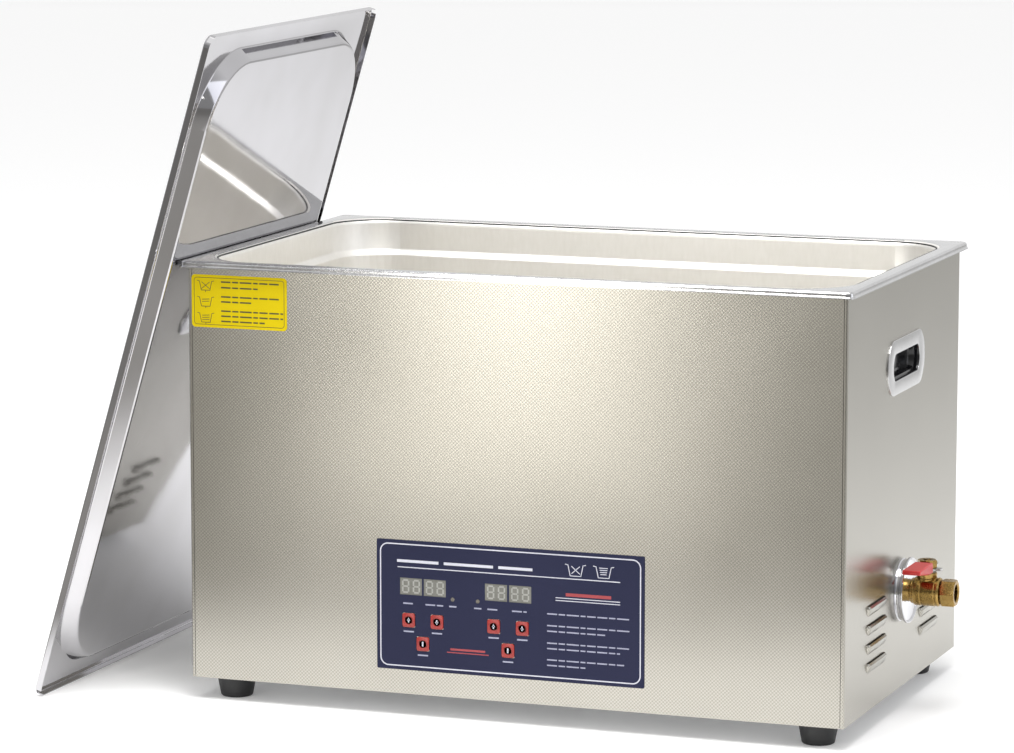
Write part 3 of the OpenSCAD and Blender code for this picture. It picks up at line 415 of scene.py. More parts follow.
def line(bm, points, width, height=0.0):
    """Adds a printed line through several points."""
    for start, end in zip(points, points[1:]):
        stroke(bm, start, end, width, height)


def turned(bm, profile, segments=48):
    """Spins a profile of radius and height round Z into a closed solid or shell."""
    verts = [bm.verts.new((radius, 0, height)) for radius, height in profile]
    edges = [bm.edges.new(pair) for pair in zip(verts, verts[1:])]
    bmesh.ops.spin(bm, geom=verts + edges, cent=(0, 0, 0), axis=(0, 0, 1), angle=math.tau,
                   steps=segments, use_merge=True)
    bmesh.ops.remove_doubles(bm, verts=bm.verts, dist=MERGE)


# A broad flat face keeps a crisp edge, so its shading stays flat
FLAT_AREA = 150
FLAT_SHARP = math.radians(1)


def piece(name, bm, slots, replaced=(), place=Matrix.Identity(4), body="cleaner", sharp=35.0,
          closed=True, wall=0.0, ink=None):
    """Puts a finished bmesh, made in millimetres, at its place in the frame as a named object.

    slots holds the record's slot first and then any made materials, sharp is the angle in degrees past
    which an edge stays crisp, wall gives an open sheet its thickness inwards, and ink is the material
    that a printed piece shows in place of its slot's.
    """
    bmesh.ops.remove_doubles(bm, verts=bm.verts, dist=MERGE)
    if closed:
        bmesh.ops.recalc_face_normals(bm, faces=bm.faces[:])
    bmesh.ops.transform(bm, matrix=Matrix.Scale(MM, 4) @ place, verts=bm.verts)
    for face in bm.faces:
        face.smooth = True
    for edge in bm.edges:
        widest = max((face.calc_area() for face in edge.link_faces), default=0)
        limit = FLAT_SHARP if widest > FLAT_AREA * MM * MM else math.radians(sharp)
        edge.smooth = len(edge.link_faces) == 2 and edge.calc_face_angle(0) < limit
    mesh = bpy.data.meshes.new(name)
    bm.to_mesh(mesh)
    bm.free()
    made = bpy.data.objects.new(name, mesh)
    bpy.context.collection.objects.link(made)
    for entry in [ink] if ink else slots:
        mesh.materials.append(FINISHES[entry] if isinstance(entry, str) else entry)
    if wall:
        thickness = made.modifiers.new("wall", "SOLIDIFY")
        thickness.thickness = wall * MM
        thickness.offset = -1
        thickness.use_even_offset = True
    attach(made, body)
    if replaced:
        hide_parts(*replaced)
    return made


# ---- Tank ----

TANK_WALL = 1.0
TANK_LENGTH = 492
TANK_WIDTH = 292
TANK_CORNER = 38
TANK_FLOOR = rim_top - 200
TANK_STEP = rim_top - 25
FLOOR_ROUND = 14
RIM_ROUND = 5
STEP_OUT = 4
EDGE_OUT = 3.25
EDGE_ROUND = 2.2
EDGE_CORNER = 3.0
DRAIN_R = 8.7
BUFF_MARGIN = 6


def make_tank():
    """The drawn tank: rounded floor, stepped wall, flange and its turned edge with a small foot."""
    bm = bmesh.new()
    profile = (arc((-FLOOR_ROUND, TANK_FLOOR + FLOOR_ROUND), FLOOR_ROUND, -90, 0, 6)
               + [(0, TANK_STEP - 4.5), (0.5, TANK_STEP - 3.6)]
               + [(STEP_OUT - 0.5, TANK_STEP - 0.6), (STEP_OUT, TANK_STEP + 0.5)]
               + arc((STEP_OUT + RIM_ROUND, rim_top - RIM_ROUND), RIM_ROUND, 180, 90, 6))
    length, width = rim_size.x, rim_size.y
    turned_edge = [(0, rim_top)] + arc((0, rim_top - EDGE_ROUND), EDGE_ROUND, 70, 0, 4)
    turned_edge += [(EDGE_ROUND, rim_top - 3.2)]
    flange = grown(length - 2 * EDGE_OUT, width - 2 * EDGE_OUT, EDGE_CORNER, turned_edge)
    foot = [(length - 1.2, width - 1.2, 5.7, rim_top - 4.1), (length, width, 6.3, rim_top - 4.5),
            (length, width, 6.3, rim_top - 5.0)]
    sections = grown(TANK_LENGTH, TANK_WIDTH, TANK_CORNER, profile) + flange + foot
    loops = loft(bm, sections, segments=10)
    drain = centre("drain_fitting") - case_mid
    hole = round_loop(bm, DRAIN_R, TANK_FLOOR, (drain.x, drain.y))
    cover(bm, loops[0] + hole)
    up_facing(bm, lowest=True)
    # The flange is buffed after the tank is drawn
    for face in bm.faces:
        middle = face.calc_center_median()
        beyond = (abs(middle.x) > TANK_LENGTH / 2 + BUFF_MARGIN
                  or abs(middle.y) > TANK_WIDTH / 2 + BUFF_MARGIN)
        if middle.z > rim_top - BUFF_MARGIN and (beyond or face.normal.z > 0.99):
            face.material_index = 1
    piece("tank_shell", bm, ["tank_steel", "polished_steel"], ["tank"], Matrix.Translation(case_mid),
          closed=False, wall=TANK_WALL, sharp=60)


make_tank()


# ---- Lid ----

LID_LEAN = math.radians(16.4)
LID_LENGTH = 532
LID_WIDTH = 328
LID_CORNER = 9
LID_LIP = 5.5
LID_DRAW = 10.7
LID_WALL = 0.8
LID_EDGE_ROUND = 1.5
LID_MARGIN = 15.8
MOUTH_CORNER = 58
lid_low, lid_high = corners("lid_sheet")
lid_foot = Vector((lid_low.x, (lid_low.y + lid_high.y) / 2, lid_low.z + LID_LIP * math.sin(LID_LEAN)))
LID = (Matrix.Translation(lid_foot)
       @ Matrix.Rotation(LID_LEAN - math.pi / 2, 4, "Y") @ Matrix.Translation((LID_LENGTH / 2, 0, 0)))


def make_lid():
    """The lid's sheet: a turned edge notched at the corners, and a drawn panel."""
    bm = bmesh.new()
    lip = [(0, -LID_LIP), (0, -LID_EDGE_ROUND)]
    lip += arc((-LID_EDGE_ROUND, -LID_EDGE_ROUND), LID_EDGE_ROUND, 15, 90, 4)
    sections = grown(LID_LENGTH, LID_WIDTH, LID_CORNER, lip)
    drawn = [(1.2, 0)] + arc((0.9, -2.4), 2.4, 100, 145, 3)
    foot = [(-6.4, -LID_DRAW + 0.9), (-7.4, -LID_DRAW + 0.2), (-8.6, -LID_DRAW)]
    sections += grown(LID_LENGTH - 2 * LID_MARGIN, LID_WIDTH - 2 * LID_MARGIN, MOUTH_CORNER, drawn + foot)
    loops = loft(bm, sections, segments=20)
    bmesh.ops.edgeloop_fill(bm, edges=loops[-1])
    corner_x, corner_y = LID_LENGTH / 2 - LID_CORNER * 0.55, LID_WIDTH / 2 - LID_CORNER * 0.55
    notched = []
    for face in bm.faces:
        middle = face.calc_center_median()
        if middle.z < -LID_EDGE_ROUND and abs(middle.x) > corner_x and abs(middle.y) > corner_y:
            notched.append(face)
    bmesh.ops.delete(bm, geom=notched, context="FACES")
    up_facing(bm)
    piece("lid_pressing", bm, ["mirror_steel"], ["lid_sheet"], LID, "lid", closed=False, wall=LID_WALL,
          sharp=50)


make_lid()


# ---- Control panel ----

OVERLAY_T = 0.6
overlay_size = size("panel_overlay")
overlay_mid = centre("panel_overlay")
overlay_x = overlay_mid.x - case_mid.x


def flat_on_front(node):
    """Middle, width and height of a node seen from the front, in the front's own frame."""
    place, extent = centre(node), size(node)
    return (place.x - case_mid.x, place.z), extent.x, extent.z


KEYS = {"key_temp_up": 1, "key_temp_down": -1, "key_heat_power": 0,
        "key_time_up": 1, "key_time_down": -1, "key_timer_power": 0}
KEY_GAP = 0.3
DISPLAY_W = 17.7
DISPLAY_PITCH = 19.1
DISPLAYS = ("display_temperature", "display_time")


def make_overlay():
    """The front film, with an opening at each key and each display."""
    bm = bmesh.new()
    edges = rounded_loop(bm, overlay_size.x, overlay_size.z, 1.0, 0, (overlay_x, overlay_mid.z), 3)
    for node in KEYS:
        middle, width, height = flat_on_front(node)
        edges += rounded_loop(bm, width + 2 * KEY_GAP, height + 2 * KEY_GAP, 1.2, 0, middle, 3)
    for node in DISPLAYS:
        (across, up), width, height = flat_on_front(node)
        for side in (-1, 1):
            edges += rounded_loop(bm, DISPLAY_W, height, 0, 0, (across + side * DISPLAY_PITCH / 2, up))
    cover(bm, edges)
    raise_sheet(bm, OVERLAY_T)
    piece("overlay_film", bm, ["overlay_film"], ["panel_overlay"], FRONT)


make_overlay()

BORDER_INSET = 2.6
BORDER_LINE = 0.9
BORDER_CORNER = 6.5
RULE_W = 0.6


def border(bm, length, width, radius, line_width, middle, height, thick, segments=8):
    """Adds a raised line round a rounded rectangle."""
    outer = rounded_loop(bm, length, width, radius, height, middle, segments)
    inner = rounded_loop(bm, length - 2 * line_width, width - 2 * line_width, radius - line_width, height,
                         middle, segments)
    bmesh.ops.bridge_loops(bm, edges=outer + inner)
    raise_sheet(bm, thick)


def make_white_print():
    """The film's border, rules, title bars and two basin signs."""
    bm = bmesh.new()
    border(bm, overlay_size.x - 2 * BORDER_INSET, overlay_size.z - 2 * BORDER_INSET, BORDER_CORNER,
           BORDER_LINE, (overlay_x, overlay_mid.z), OVERLAY_T, PRINT_T)
    line(bm, [(-89, 114.5), (86.9, 114.5)], 0.7, OVERLAY_T)
    for row in (99.6, 97.6):
        line(bm, [(36.8, row), (86.9, row)], RULE_W, OVERLAY_T)
    for left, right in ((-89, -57), (-51.5, -13.5), (-8, 17.7)):
        stroke(bm, (left, 119.2), (right, 119.2), 2.1, OVERLAY_T)
    for left in (44.2, 66.2):
        basin(bm, left, 125.4, 16, 8.6, RULE_W, OVERLAY_T)
    line(bm, [(49.2, 124.0), (55.4, 118.6)], RULE_W, OVERLAY_T)
    line(bm, [(49.2, 118.6), (55.4, 124.0)], RULE_W, OVERLAY_T)
    for row in range(4):
        level = 124.2 - 1.6 * row
        line(bm, [(71.0 + 0.3 * row, level), (77.2 - 0.3 * row, level)], RULE_W, OVERLAY_T)
    piece("overlay_white_print", bm, ["overlay_film"], (), FRONT, ink=WHITE_INK)


def basin(bm, left, top, width, depth, thick, high):
    """Adds the outline of a basin with turned-out edges."""
    slant = 0.24 * width
    points = [(left, top), (left + 0.13 * width, top - 0.05 * depth), (left + slant, top - depth),
              (left + width - slant, top - depth), (left + 0.87 * width, top - 0.05 * depth),
              (left + width, top)]
    line(bm, points, thick, high)


make_white_print()


def make_dashes():
    """Short dashes and bars that stand in for the small printing."""
    bm = bmesh.new()
    rows = ((87.0, 93.8), (78.1, 95.4), (73.9, 75.2), (64.9, 93.9), (60.7, 86.9), (52.2, 90.1),
            (48.0, 61.9))
    for row, right in rows:
        words(bm, 30.3, right, row, 1.0, OVERLAY_T)
    for middle, half in ((-79.5, 5), (-59.5, 7), (-45, 2.6), (-25, 2.6), (-12, 5), (8, 5.5)):
        words(bm, middle - half, middle + half, 87.0, 1.1, OVERLAY_T)
    for node in KEYS:
        across, up = flat_on_front(node)[0]
        stroke(bm, (across - 3.8, up - 8.6), (across + 3.8, up - 8.6), 1.1, OVERLAY_T)
    piece("overlay_grey_print", bm, ["overlay_film"], (), FRONT, ink=SOFT_INK)


DASH_LENGTHS = (7.2, 4.4, 9.0, 3.2, 6.1)
DASH_GAP = 1.9


def words(bm, left, right, row, thick, high):
    """Adds a row of dashes of uneven lengths."""
    place, index = left, 0
    while place < right - 1:
        end = min(place + DASH_LENGTHS[index % len(DASH_LENGTHS)], right)
        stroke(bm, (place, row), (end, row), thick, high)
        place = end + DASH_GAP
        index += 1


make_dashes()


def make_red_print():
    """The red bars and rule on the film."""
    bm = bmesh.new()
    stroke(bm, (45.3, 102.4), (79.4, 102.4), 2.4, OVERLAY_T)
    line(bm, [(-49.4, 52), (-16.6, 52)], 0.8, OVERLAY_T)
    line(bm, [(-46.4, 54.4), (-19.6, 54.4)], 1.6, OVERLAY_T)
    piece("overlay_red_print", bm, ["overlay_film"], (), FRONT, ink=RED_INK)


make_red_print()

DIGIT_W = 4.6
DIGIT_H = 9.2
DIGIT_SHIFT = 4.3
SEGMENT_W = 1.3
SEGMENT_T = 0.03
DISPLAY_DEPTH = 8


def make_displays():
    """Each display: two grey windows with two unlit digits in each."""
    for node in DISPLAYS:
        across, up = flat_on_front(node)[0]
        height = size(node).z
        face = front_y - corners(node)[0].y
        bm = bmesh.new()
        digits = bmesh.new()
        for side in (-1, 1):
            middle = across + side * DISPLAY_PITCH / 2
            block(bm, (middle - DISPLAY_W / 2, up - height / 2, face - DISPLAY_DEPTH),
                  (middle + DISPLAY_W / 2, up + height / 2, face))
            for shift in (-DIGIT_SHIFT, DIGIT_SHIFT):
                seven_segments(digits, middle + shift, up, face)
        piece(node + "_window", bm, ["display_window"], [node], FRONT)
        piece(node + "_digits", digits, ["display_window"], (), FRONT, ink=SEGMENT)


def seven_segments(bm, across, up, high):
    """Adds the seven unlit bars of a digit."""
    half_w, half_h = DIGIT_W / 2, DIGIT_H / 2
    for row in (-1, 0, 1):
        level = up + row * half_h
        stroke(bm, (across - half_w + 0.8, level), (across + half_w - 0.8, level), SEGMENT_W, high,
               SEGMENT_T)
    for side in (-1, 1):
        place = across + side * half_w
        for low in (up - half_h, up):
            stroke(bm, (place, low + 0.9), (place, low + half_h - 0.9), SEGMENT_W, high, SEGMENT_T)


make_displays()

CAP_T = 0.5
CAP_CORNER = 1.5
STEM_R = 2.5
STEM_L = 4.6
STEM_MID = -2.2
RING_R = 3.7
DISC_R = 2.9
SYMBOL_Z = CAP_T + PRINT_T


def make_keys():
    """Each key: a raised cap on its stem, with a printed ring, disc and sign."""
    for node, arrow in KEYS.items():
        (across, up), width, height = flat_on_front(node)
        face = front_y - corners(node)[0].y
        bm = bmesh.new()
        top = rounded_loop(bm, width, height, CAP_CORNER, 0, segments=4)
        bmesh.ops.edgeloop_fill(bm, edges=top)
        raise_sheet(bm, CAP_T)
        ease_edges(bm, 0.15, above=0.3)
        stem = bmesh.ops.create_cone(bm, cap_ends=True, segments=24, radius1=STEM_R, radius2=STEM_R,
                                     depth=STEM_L)
        bmesh.ops.translate(bm, vec=(0, 0, STEM_MID), verts=stem["verts"])
        for part in bm.faces:
            part.material_index = 0
        ring = bridge(bm, [round_loop(bm, RING_R, CAP_T), round_loop(bm, RING_R, SYMBOL_Z),
                           round_loop(bm, DISC_R, SYMBOL_Z), round_loop(bm, DISC_R, CAP_T)])
        bmesh.ops.bridge_loops(bm, edges=ring[-1] + ring[0])
        for part in bm.faces:
            middle = part.calc_center_median()
            if middle.z > CAP_T + 0.001 and middle.xy.length > 2.7:
                part.material_index = 1
        disc = bmesh.ops.create_circle(bm, radius=DISC_R, segments=24, cap_ends=True,
                                       matrix=Matrix.Translation((0, 0, CAP_T + PRINT_T / 2)))
        for part in {face_on for vert in disc["verts"] for face_on in vert.link_faces}:
            part.material_index = 2
            part.normal_update()
            if part.normal.z < 0:
                part.normal_flip()
        known = set(bm.faces)
        if arrow:
            stroke(bm, (0, -1.5 * arrow), (0, 0.6 * arrow), 0.9, SYMBOL_Z)
            head = bmesh.ops.create_cone(bm, cap_ends=True, segments=3, radius1=1.5, radius2=1.5,
                                         depth=PRINT_T)
            if arrow < 0:
                bmesh.ops.rotate(bm, verts=head["verts"], matrix=Matrix.Rotation(math.pi, 3, "Z"))
            bmesh.ops.translate(bm, vec=(0, 0.5 * arrow, SYMBOL_Z + PRINT_T / 2), verts=head["verts"])
        else:
            stroke(bm, (0, -1.5), (0, 1.5), 1.1, SYMBOL_Z)
        for part in bm.faces:
            if part not in known:
                part.material_index = 3
        place = FRONT @ Matrix.Translation((across, up, face - CAP_T))
        piece(node + "_cap", bm, ["red_key", DARK_INK, KEY_DISC_INK, WHITE_INK], [node], place, node,
              closed=False)


make_keys()


# ---- Notice label ----

LABEL_T = 0.3
LABEL_INSET = 2
LABEL_LINE = 0.4
SIGN_PITCH = 12.2
SIGN_W = 0.5


def make_label():
    """The yellow label: a border, three small basins and dashes for its words."""
    middle, width, height = flat_on_front("notice_label")
    bm = bmesh.new()
    cover(bm, rounded_loop(bm, width, height, 3, 0, middle, 6))
    raise_sheet(bm, LABEL_T)
    piece("notice_film", bm, ["label_film"], ["notice_label"], FRONT)
    bm = bmesh.new()
    border(bm, width - 2 * LABEL_INSET, height - 2 * LABEL_INSET, 2.4, LABEL_LINE, middle, LABEL_T, 0.05, 6)
    left = middle[0] - width / 2
    top = middle[1] + height / 2
    for row in range(3):
        high = top - 4.6 - SIGN_PITCH * row
        basin(bm, left + 4.8, high, 13.6, 7.2, SIGN_W, LABEL_T)
        if row == 0:
            line(bm, [(left + 8.4, high - 1), (left + 14.8, high - 6)], SIGN_W, LABEL_T)
            line(bm, [(left + 8.4, high - 6), (left + 14.8, high - 1)], SIGN_W, LABEL_T)
        for wave in range(row + 1 if row else 0):
            level = high - 1.7 * wave
            stroke(bm, (left + 8.8, level - 2.0), (left + 14.4, level - 1.6), SIGN_W, LABEL_T)
        line(bm, [(left + 11.6, high - 7.2), (left + 11.6, high - 8.6)], SIGN_W, LABEL_T)
    for row, length in ((5, 48), (9.3, 31), (16.3, 49), (20.1, 24), (27.1, 50), (31, 50), (34.9, 35)):
        words(bm, left + 24.6, left + 24.6 + length, top - row, 1.2, LABEL_T)
    piece("notice_print", bm, ["label_film"], (), FRONT, ink=BLACK_INK)


make_label()


# ---- Side panels with their louvres ----

LOUVRE_L = 47.5
LOUVRE_H = 7.8
LOUVRE_OUT = 2.8
LOUVRE_LIP = 0.5
LOUVRE_R = (LOUVRE_H ** 2 + LOUVRE_OUT ** 2) / (2 * LOUVRE_OUT)
LOUVRE_PITCH = 14.3
LOUVRE_FIRST = 46
LOUVRE_SIDE = 73
BEND = 1.6
RETURN = 2.8
SHEET_WALL = 0.8
SLOT_TRIM = 14
VENT_ROWS = 4
POCKET_CUT = (78, 25)


def newer(parts, known):
    """The parts that were not there before."""
    return [part for part in parts if part not in known]


def louvre(bm, across, top):
    """Adds one pressed louvre: a hood with steep ends that is flush below and slightly open at its top."""
    known = set(bm.verts)
    reach = math.asin(LOUVRE_H / LOUVRE_R)
    half = LOUVRE_L / 2 - LOUVRE_OUT
    starts = []
    for side in (-1, 1):
        start = bm.verts.new((side * half, 0, LOUVRE_OUT))
        bmesh.ops.spin(bm, geom=[start], cent=(side * half, 0, 0), axis=(0, side, 0), angle=math.pi / 2,
                       steps=5)
        starts.append(start)
    bm.edges.new(starts)
    outline = newer(bm.verts, known)
    edges = list({edge for vert in outline for edge in vert.link_edges})
    bmesh.ops.spin(bm, geom=outline + edges, cent=(0, 0, LOUVRE_OUT - LOUVRE_R), axis=(1, 0, 0),
                   angle=reach, steps=6)
    verts = newer(bm.verts, known)
    faces = list({face for vert in verts for face in vert.link_faces})
    edges = list({edge for vert in verts for edge in vert.link_edges})
    bmesh.ops.bisect_plane(bm, geom=verts + edges + faces, plane_co=(0, 0, 0), plane_no=(0, 0, 1),
                           dist=0.0001, clear_inner=True)
    verts = newer(bm.verts, known)
    lips = [vert for vert in verts if abs(vert.co.y) < 0.001]
    bmesh.ops.scale(bm, vec=(1, 1, LOUVRE_LIP), verts=lips)
    bmesh.ops.translate(bm, vec=(across, top, 0), verts=verts)
    return {face for vert in verts for face in vert.link_faces}


def make_side(name, place):
    """A side panel bent round both upright edges, with its louvres and the opening for its handle."""
    bm = bmesh.new()
    depth = 2 * (case_half_d - BEND)
    edges = rounded_loop(bm, depth, panel_high - panel_low, 0, 0, (0, (panel_high + panel_low) / 2))
    edges += rounded_loop(bm, POCKET_CUT[0], POCKET_CUT[1], 6, 0, (0, centre("right_handle_plate").z), 3)
    places = [(side * LOUVRE_SIDE, LOUVRE_FIRST + LOUVRE_PITCH * row) for row in range(VENT_ROWS)
              for side in (-1, 1)]
    for across, low in places:
        edges += rounded_loop(bm, LOUVRE_L - SLOT_TRIM, LOUVRE_H * 0.3, 0, 0,
                              (across, low + LOUVRE_H * 0.55))
    cover(bm, edges)
    for side in (-1, 1):
        edge = next(e for e in bm.edges if e.is_boundary
                    and all(abs(v.co.x - side * depth / 2) < 0.001 for v in e.verts))
        bent = bmesh.ops.spin(bm, geom=[edge, *edge.verts], cent=(side * depth / 2, 0, -BEND),
                              axis=(0, side, 0), angle=math.pi / 2, steps=5)["geom_last"]
        last = [part for part in bent if isinstance(part, bmesh.types.BMEdge)]
        verts = [part for part in bmesh.ops.extrude_edge_only(bm, edges=last)["geom"]
                 if isinstance(part, bmesh.types.BMVert)]
        bmesh.ops.translate(bm, vec=(0, 0, BEND - RETURN), verts=verts)
    bmesh.ops.recalc_face_normals(bm, faces=bm.faces[:])
    flat = max(bm.faces, key=lambda face: face.calc_area())
    if flat.normal.z < 0:
        bmesh.ops.reverse_faces(bm, faces=bm.faces[:])
    for across, low in places:
        hood = louvre(bm, across, low + LOUVRE_H)
        bmesh.ops.reverse_faces(bm, faces=[face for face in hood if face.normal.z < 0])
    piece(name + "_sheet", bm, ["embossed_steel"], [name], place, closed=False, wall=SHEET_WALL, sharp=40)


make_side("right_side_panel", RIGHT)
make_side("left_side_panel", LEFT)


# ---- Side handles ----

HANDLE_L = 101.5
HANDLE_H = 41.5
HANDLE_T = 1.2
HANDLE_END_R = 23
POCKET_L = 73
POCKET_H = 20.5
POCKET_END_R = 13.2
POCKET_SOFT = 1.6
# The recess's section from its rim to its floor: how far out, and how high
RECESS = [(0.6, 0.8), (-0.2, 0.9), (-0.5, 0.4), (-0.5, -2.6), (-1.7, -2.9), (-2.0, -3.4), (-2.4, -6.6),
          (-3.4, -7.8), (-5.0, -8.2)]


def make_handle(side, place):
    """A handle: its eased steel plate, and the black recess that a hand reaches into."""
    height = centre(side + "_handle_plate").z
    here = place @ Matrix.Translation((0, height, 0))
    bm = bmesh.new()
    bridge(bm, [bulged_loop(bm, HANDLE_L, HANDLE_H, HANDLE_END_R, 2.5),
                bulged_loop(bm, POCKET_L, POCKET_H, POCKET_END_R, POCKET_SOFT)])
    raise_sheet(bm, HANDLE_T)
    ease_edges(bm, 0.35, segments=3, above=HANDLE_T / 2)
    piece(side + "_handle_bezel", bm, ["polished_steel"], [side + "_handle_plate"], here, sharp=50)
    bm = bmesh.new()
    loops = bridge(bm, [bulged_loop(bm, POCKET_L + 2 * out, POCKET_H + 2 * out, POCKET_END_R + out,
                                    POCKET_SOFT, deep) for out, deep in RECESS])
    bmesh.ops.edgeloop_fill(bm, edges=loops[-1])
    up_facing(bm, lowest=True)
    piece(side + "_handle_recess", bm, ["gloss_black_plastic"], [side + "_handle_cup"], here, closed=False,
          wall=1.0, sharp=40)


make_handle("right", RIGHT)
make_handle("left", LEFT)


# ---- Drain valve ----

VALVE_Z = centre("escutcheon").z
VALVE = RIGHT @ Matrix.Translation((0, VALVE_Z, 0))
VALVE_END = corners("valve_end_fitting")[1].x - case_mid.x - side_half
STEM_AT = centre("lever_nut").x - case_mid.x - side_half
BOSS_TOP = 15
OUTLET_R = 6.5
TO_STEM = Matrix.Translation((0, 0, STEM_AT)) @ Matrix.Rotation(-math.pi / 2, 4, "X")


def closed(profile):
    """A profile that ends where it starts."""
    return profile + profile[:1]


def solid_turned(bm, profile, turn=Matrix.Identity(4), segments=48):
    """Spins a closed profile and puts the new solid at its place in the piece."""
    known = set(bm.verts)
    turned(bm, closed(profile), segments)
    verts = [vert for vert in bm.verts if vert not in known]
    bmesh.ops.transform(bm, matrix=turn, verts=verts)


def hex_nut(bm, corner_r, low, high, bore, turn=Matrix.Identity(4), chamfer=0.9, spin=0.0):
    """Adds a six-sided nut with its chamfered faces and its bore."""
    known = set(bm.verts)
    flat_r = corner_r * math.cos(math.pi / 6)
    loops = [round_loop(bm, bore, low), round_loop(bm, flat_r * 0.98, low),
             round_loop(bm, corner_r, low + chamfer, segments=6),
             round_loop(bm, corner_r, high - chamfer, segments=6),
             round_loop(bm, flat_r * 0.98, high), round_loop(bm, bore + chamfer, high),
             round_loop(bm, bore, high - chamfer)]
    bridge(bm, loops)
    bmesh.ops.bridge_loops(bm, edges=loops[-1] + loops[0])
    verts = [vert for vert in bm.verts if vert not in known]
    bmesh.ops.transform(bm, matrix=turn @ Matrix.Rotation(spin, 4, "Z"), verts=verts)


# Turned sections, each point a radius and a height along its axis
BODY_R = 11
GROOVE_R = BODY_R - 0.35
CASTING = [(6, -11), (8.5, -11), (8.5, 6.9), (9.2, 7.3), (9.8, 8.3), (9.8, 9.3), (10.7, 10.2),
           (BODY_R, 10.8), (BODY_R, 15.4), (GROOVE_R, 15.8), (GROOVE_R, 16.8), (BODY_R, 17.2), (BODY_R, 26.2),
           (GROOVE_R, 26.6), (GROOVE_R, 27.6), (BODY_R, 28), (BODY_R, 28.8), (10.2, 30.1), (9.4, 30.5),
           (6, 30.5)]
BOSS = [(2.6, 2), (7, 2), (7, 10.2), (7.4, 10.6), (7.7, 11.2), (7.7, BOSS_TOP - 0.7), (7.1, BOSS_TOP),
        (2.6, BOSS_TOP)]
ROSETTE = [(8.7, 0), (24, 0), (23.2, 0.7), (23, 1.5), (23, 3), (23.3, 3.5), (24.7, 4.3), (25, 4.8), (25, 6),
           (24.7, 6.4), (24.2, 6.5), (23.7, 6.2), (23.0, 5.3), (22.4, 5.1), (8.7, 5.1)]
OUTLET_CORNER_R = 11
STEM_NUT_R = 7.5


def make_valve():
    """The brass body with its stem boss, its hexagonal end, the lever's nut and the chrome rosette."""
    bm = bmesh.new()
    solid_turned(bm, CASTING)
    solid_turned(bm, BOSS, TO_STEM, 40)
    piece("valve_casting", bm, ["brass"], ["valve_body"], VALVE, sharp=30)
    bm = bmesh.new()
    hex_nut(bm, OUTLET_CORNER_R, 31.1, VALVE_END, OUTLET_R, spin=math.pi / 2)
    piece("valve_outlet", bm, ["brass"], ["valve_end_fitting"], VALVE, sharp=25)
    bm = bmesh.new()
    low, high = corners("lever_nut")
    hex_nut(bm, STEM_NUT_R, low.z - VALVE_Z, high.z - VALVE_Z, 2.5, TO_STEM, 0.6)
    piece("lever_hex_nut", bm, ["brass"], ["lever_nut"], VALVE, "valve_lever", sharp=25)
    bm = bmesh.new()
    solid_turned(bm, ROSETTE, segments=72)
    piece("valve_rosette", bm, ["chrome_plate"], ["escutcheon"], VALVE, sharp=30)


make_valve()

SLEEVE_TIP = 3.4
SLEEVE_HUB = 8
HUB_LENGTH = 10


def make_sleeve():
    """The dipped sleeve: a wedge that thins towards its tip, with rounded edges."""
    low, high = corners("lever_sleeve")
    reach = high.z
    bm = bmesh.new()
    outline = [(low.y, reach), (high.y - 1.3, reach), (high.y, reach - SLEEVE_HUB),
               (high.y - HUB_LENGTH, reach - SLEEVE_HUB), (low.y, reach - SLEEVE_TIP)]
    face = bm.faces.new([bm.verts.new((low.x, y, z)) for y, z in outline])
    raised = bmesh.ops.extrude_face_region(bm, geom=[face])
    verts = [part for part in raised["geom"] if isinstance(part, bmesh.types.BMVert)]
    bmesh.ops.translate(bm, vec=(high.x - low.x, 0, 0), verts=verts)
    bmesh.ops.recalc_face_normals(bm, faces=bm.faces[:])
    ease_edges(bm, 0.9, sharper=30, segments=3)
    piece("lever_grip", bm, ["red_sleeve"], ["lever_sleeve"], body="valve_lever", sharp=50)


make_sleeve()


# ---- Feet ----

FOOT_TIP_R = 10.5
FOOT_ROUND = 2


def make_foot(node):
    """A rubber foot: a rounded taper with a bore and a recess for its screw."""
    bm = bmesh.new()
    middle, high = centre(node), corners(node)[1].z
    top_r = size(node).x / 2
    profile = [(2.3, 7), (5, 7), (5, 0.6), (5.6, 0), (FOOT_TIP_R, 0)]
    profile += arc((FOOT_TIP_R, FOOT_ROUND), FOOT_ROUND, -60, 0, 3)
    profile += [(top_r - 0.4, high - 2), (top_r, high - 1.2), (top_r, high), (2.3, high)]
    solid_turned(bm, profile, Matrix.Translation((middle.x, middle.y, 0)), 40)
    piece(node + "_rubber", bm, ["black_rubber"], [node], sharp=30)


for corner in ("front_left", "front_right", "rear_left", "rear_right"):
    make_foot("foot_" + corner)


# ---- Lid handle ----

GRIP_R = 5
GRIP_BEND = 11
GRIP_Z = 18
GRIP_HALF = 55


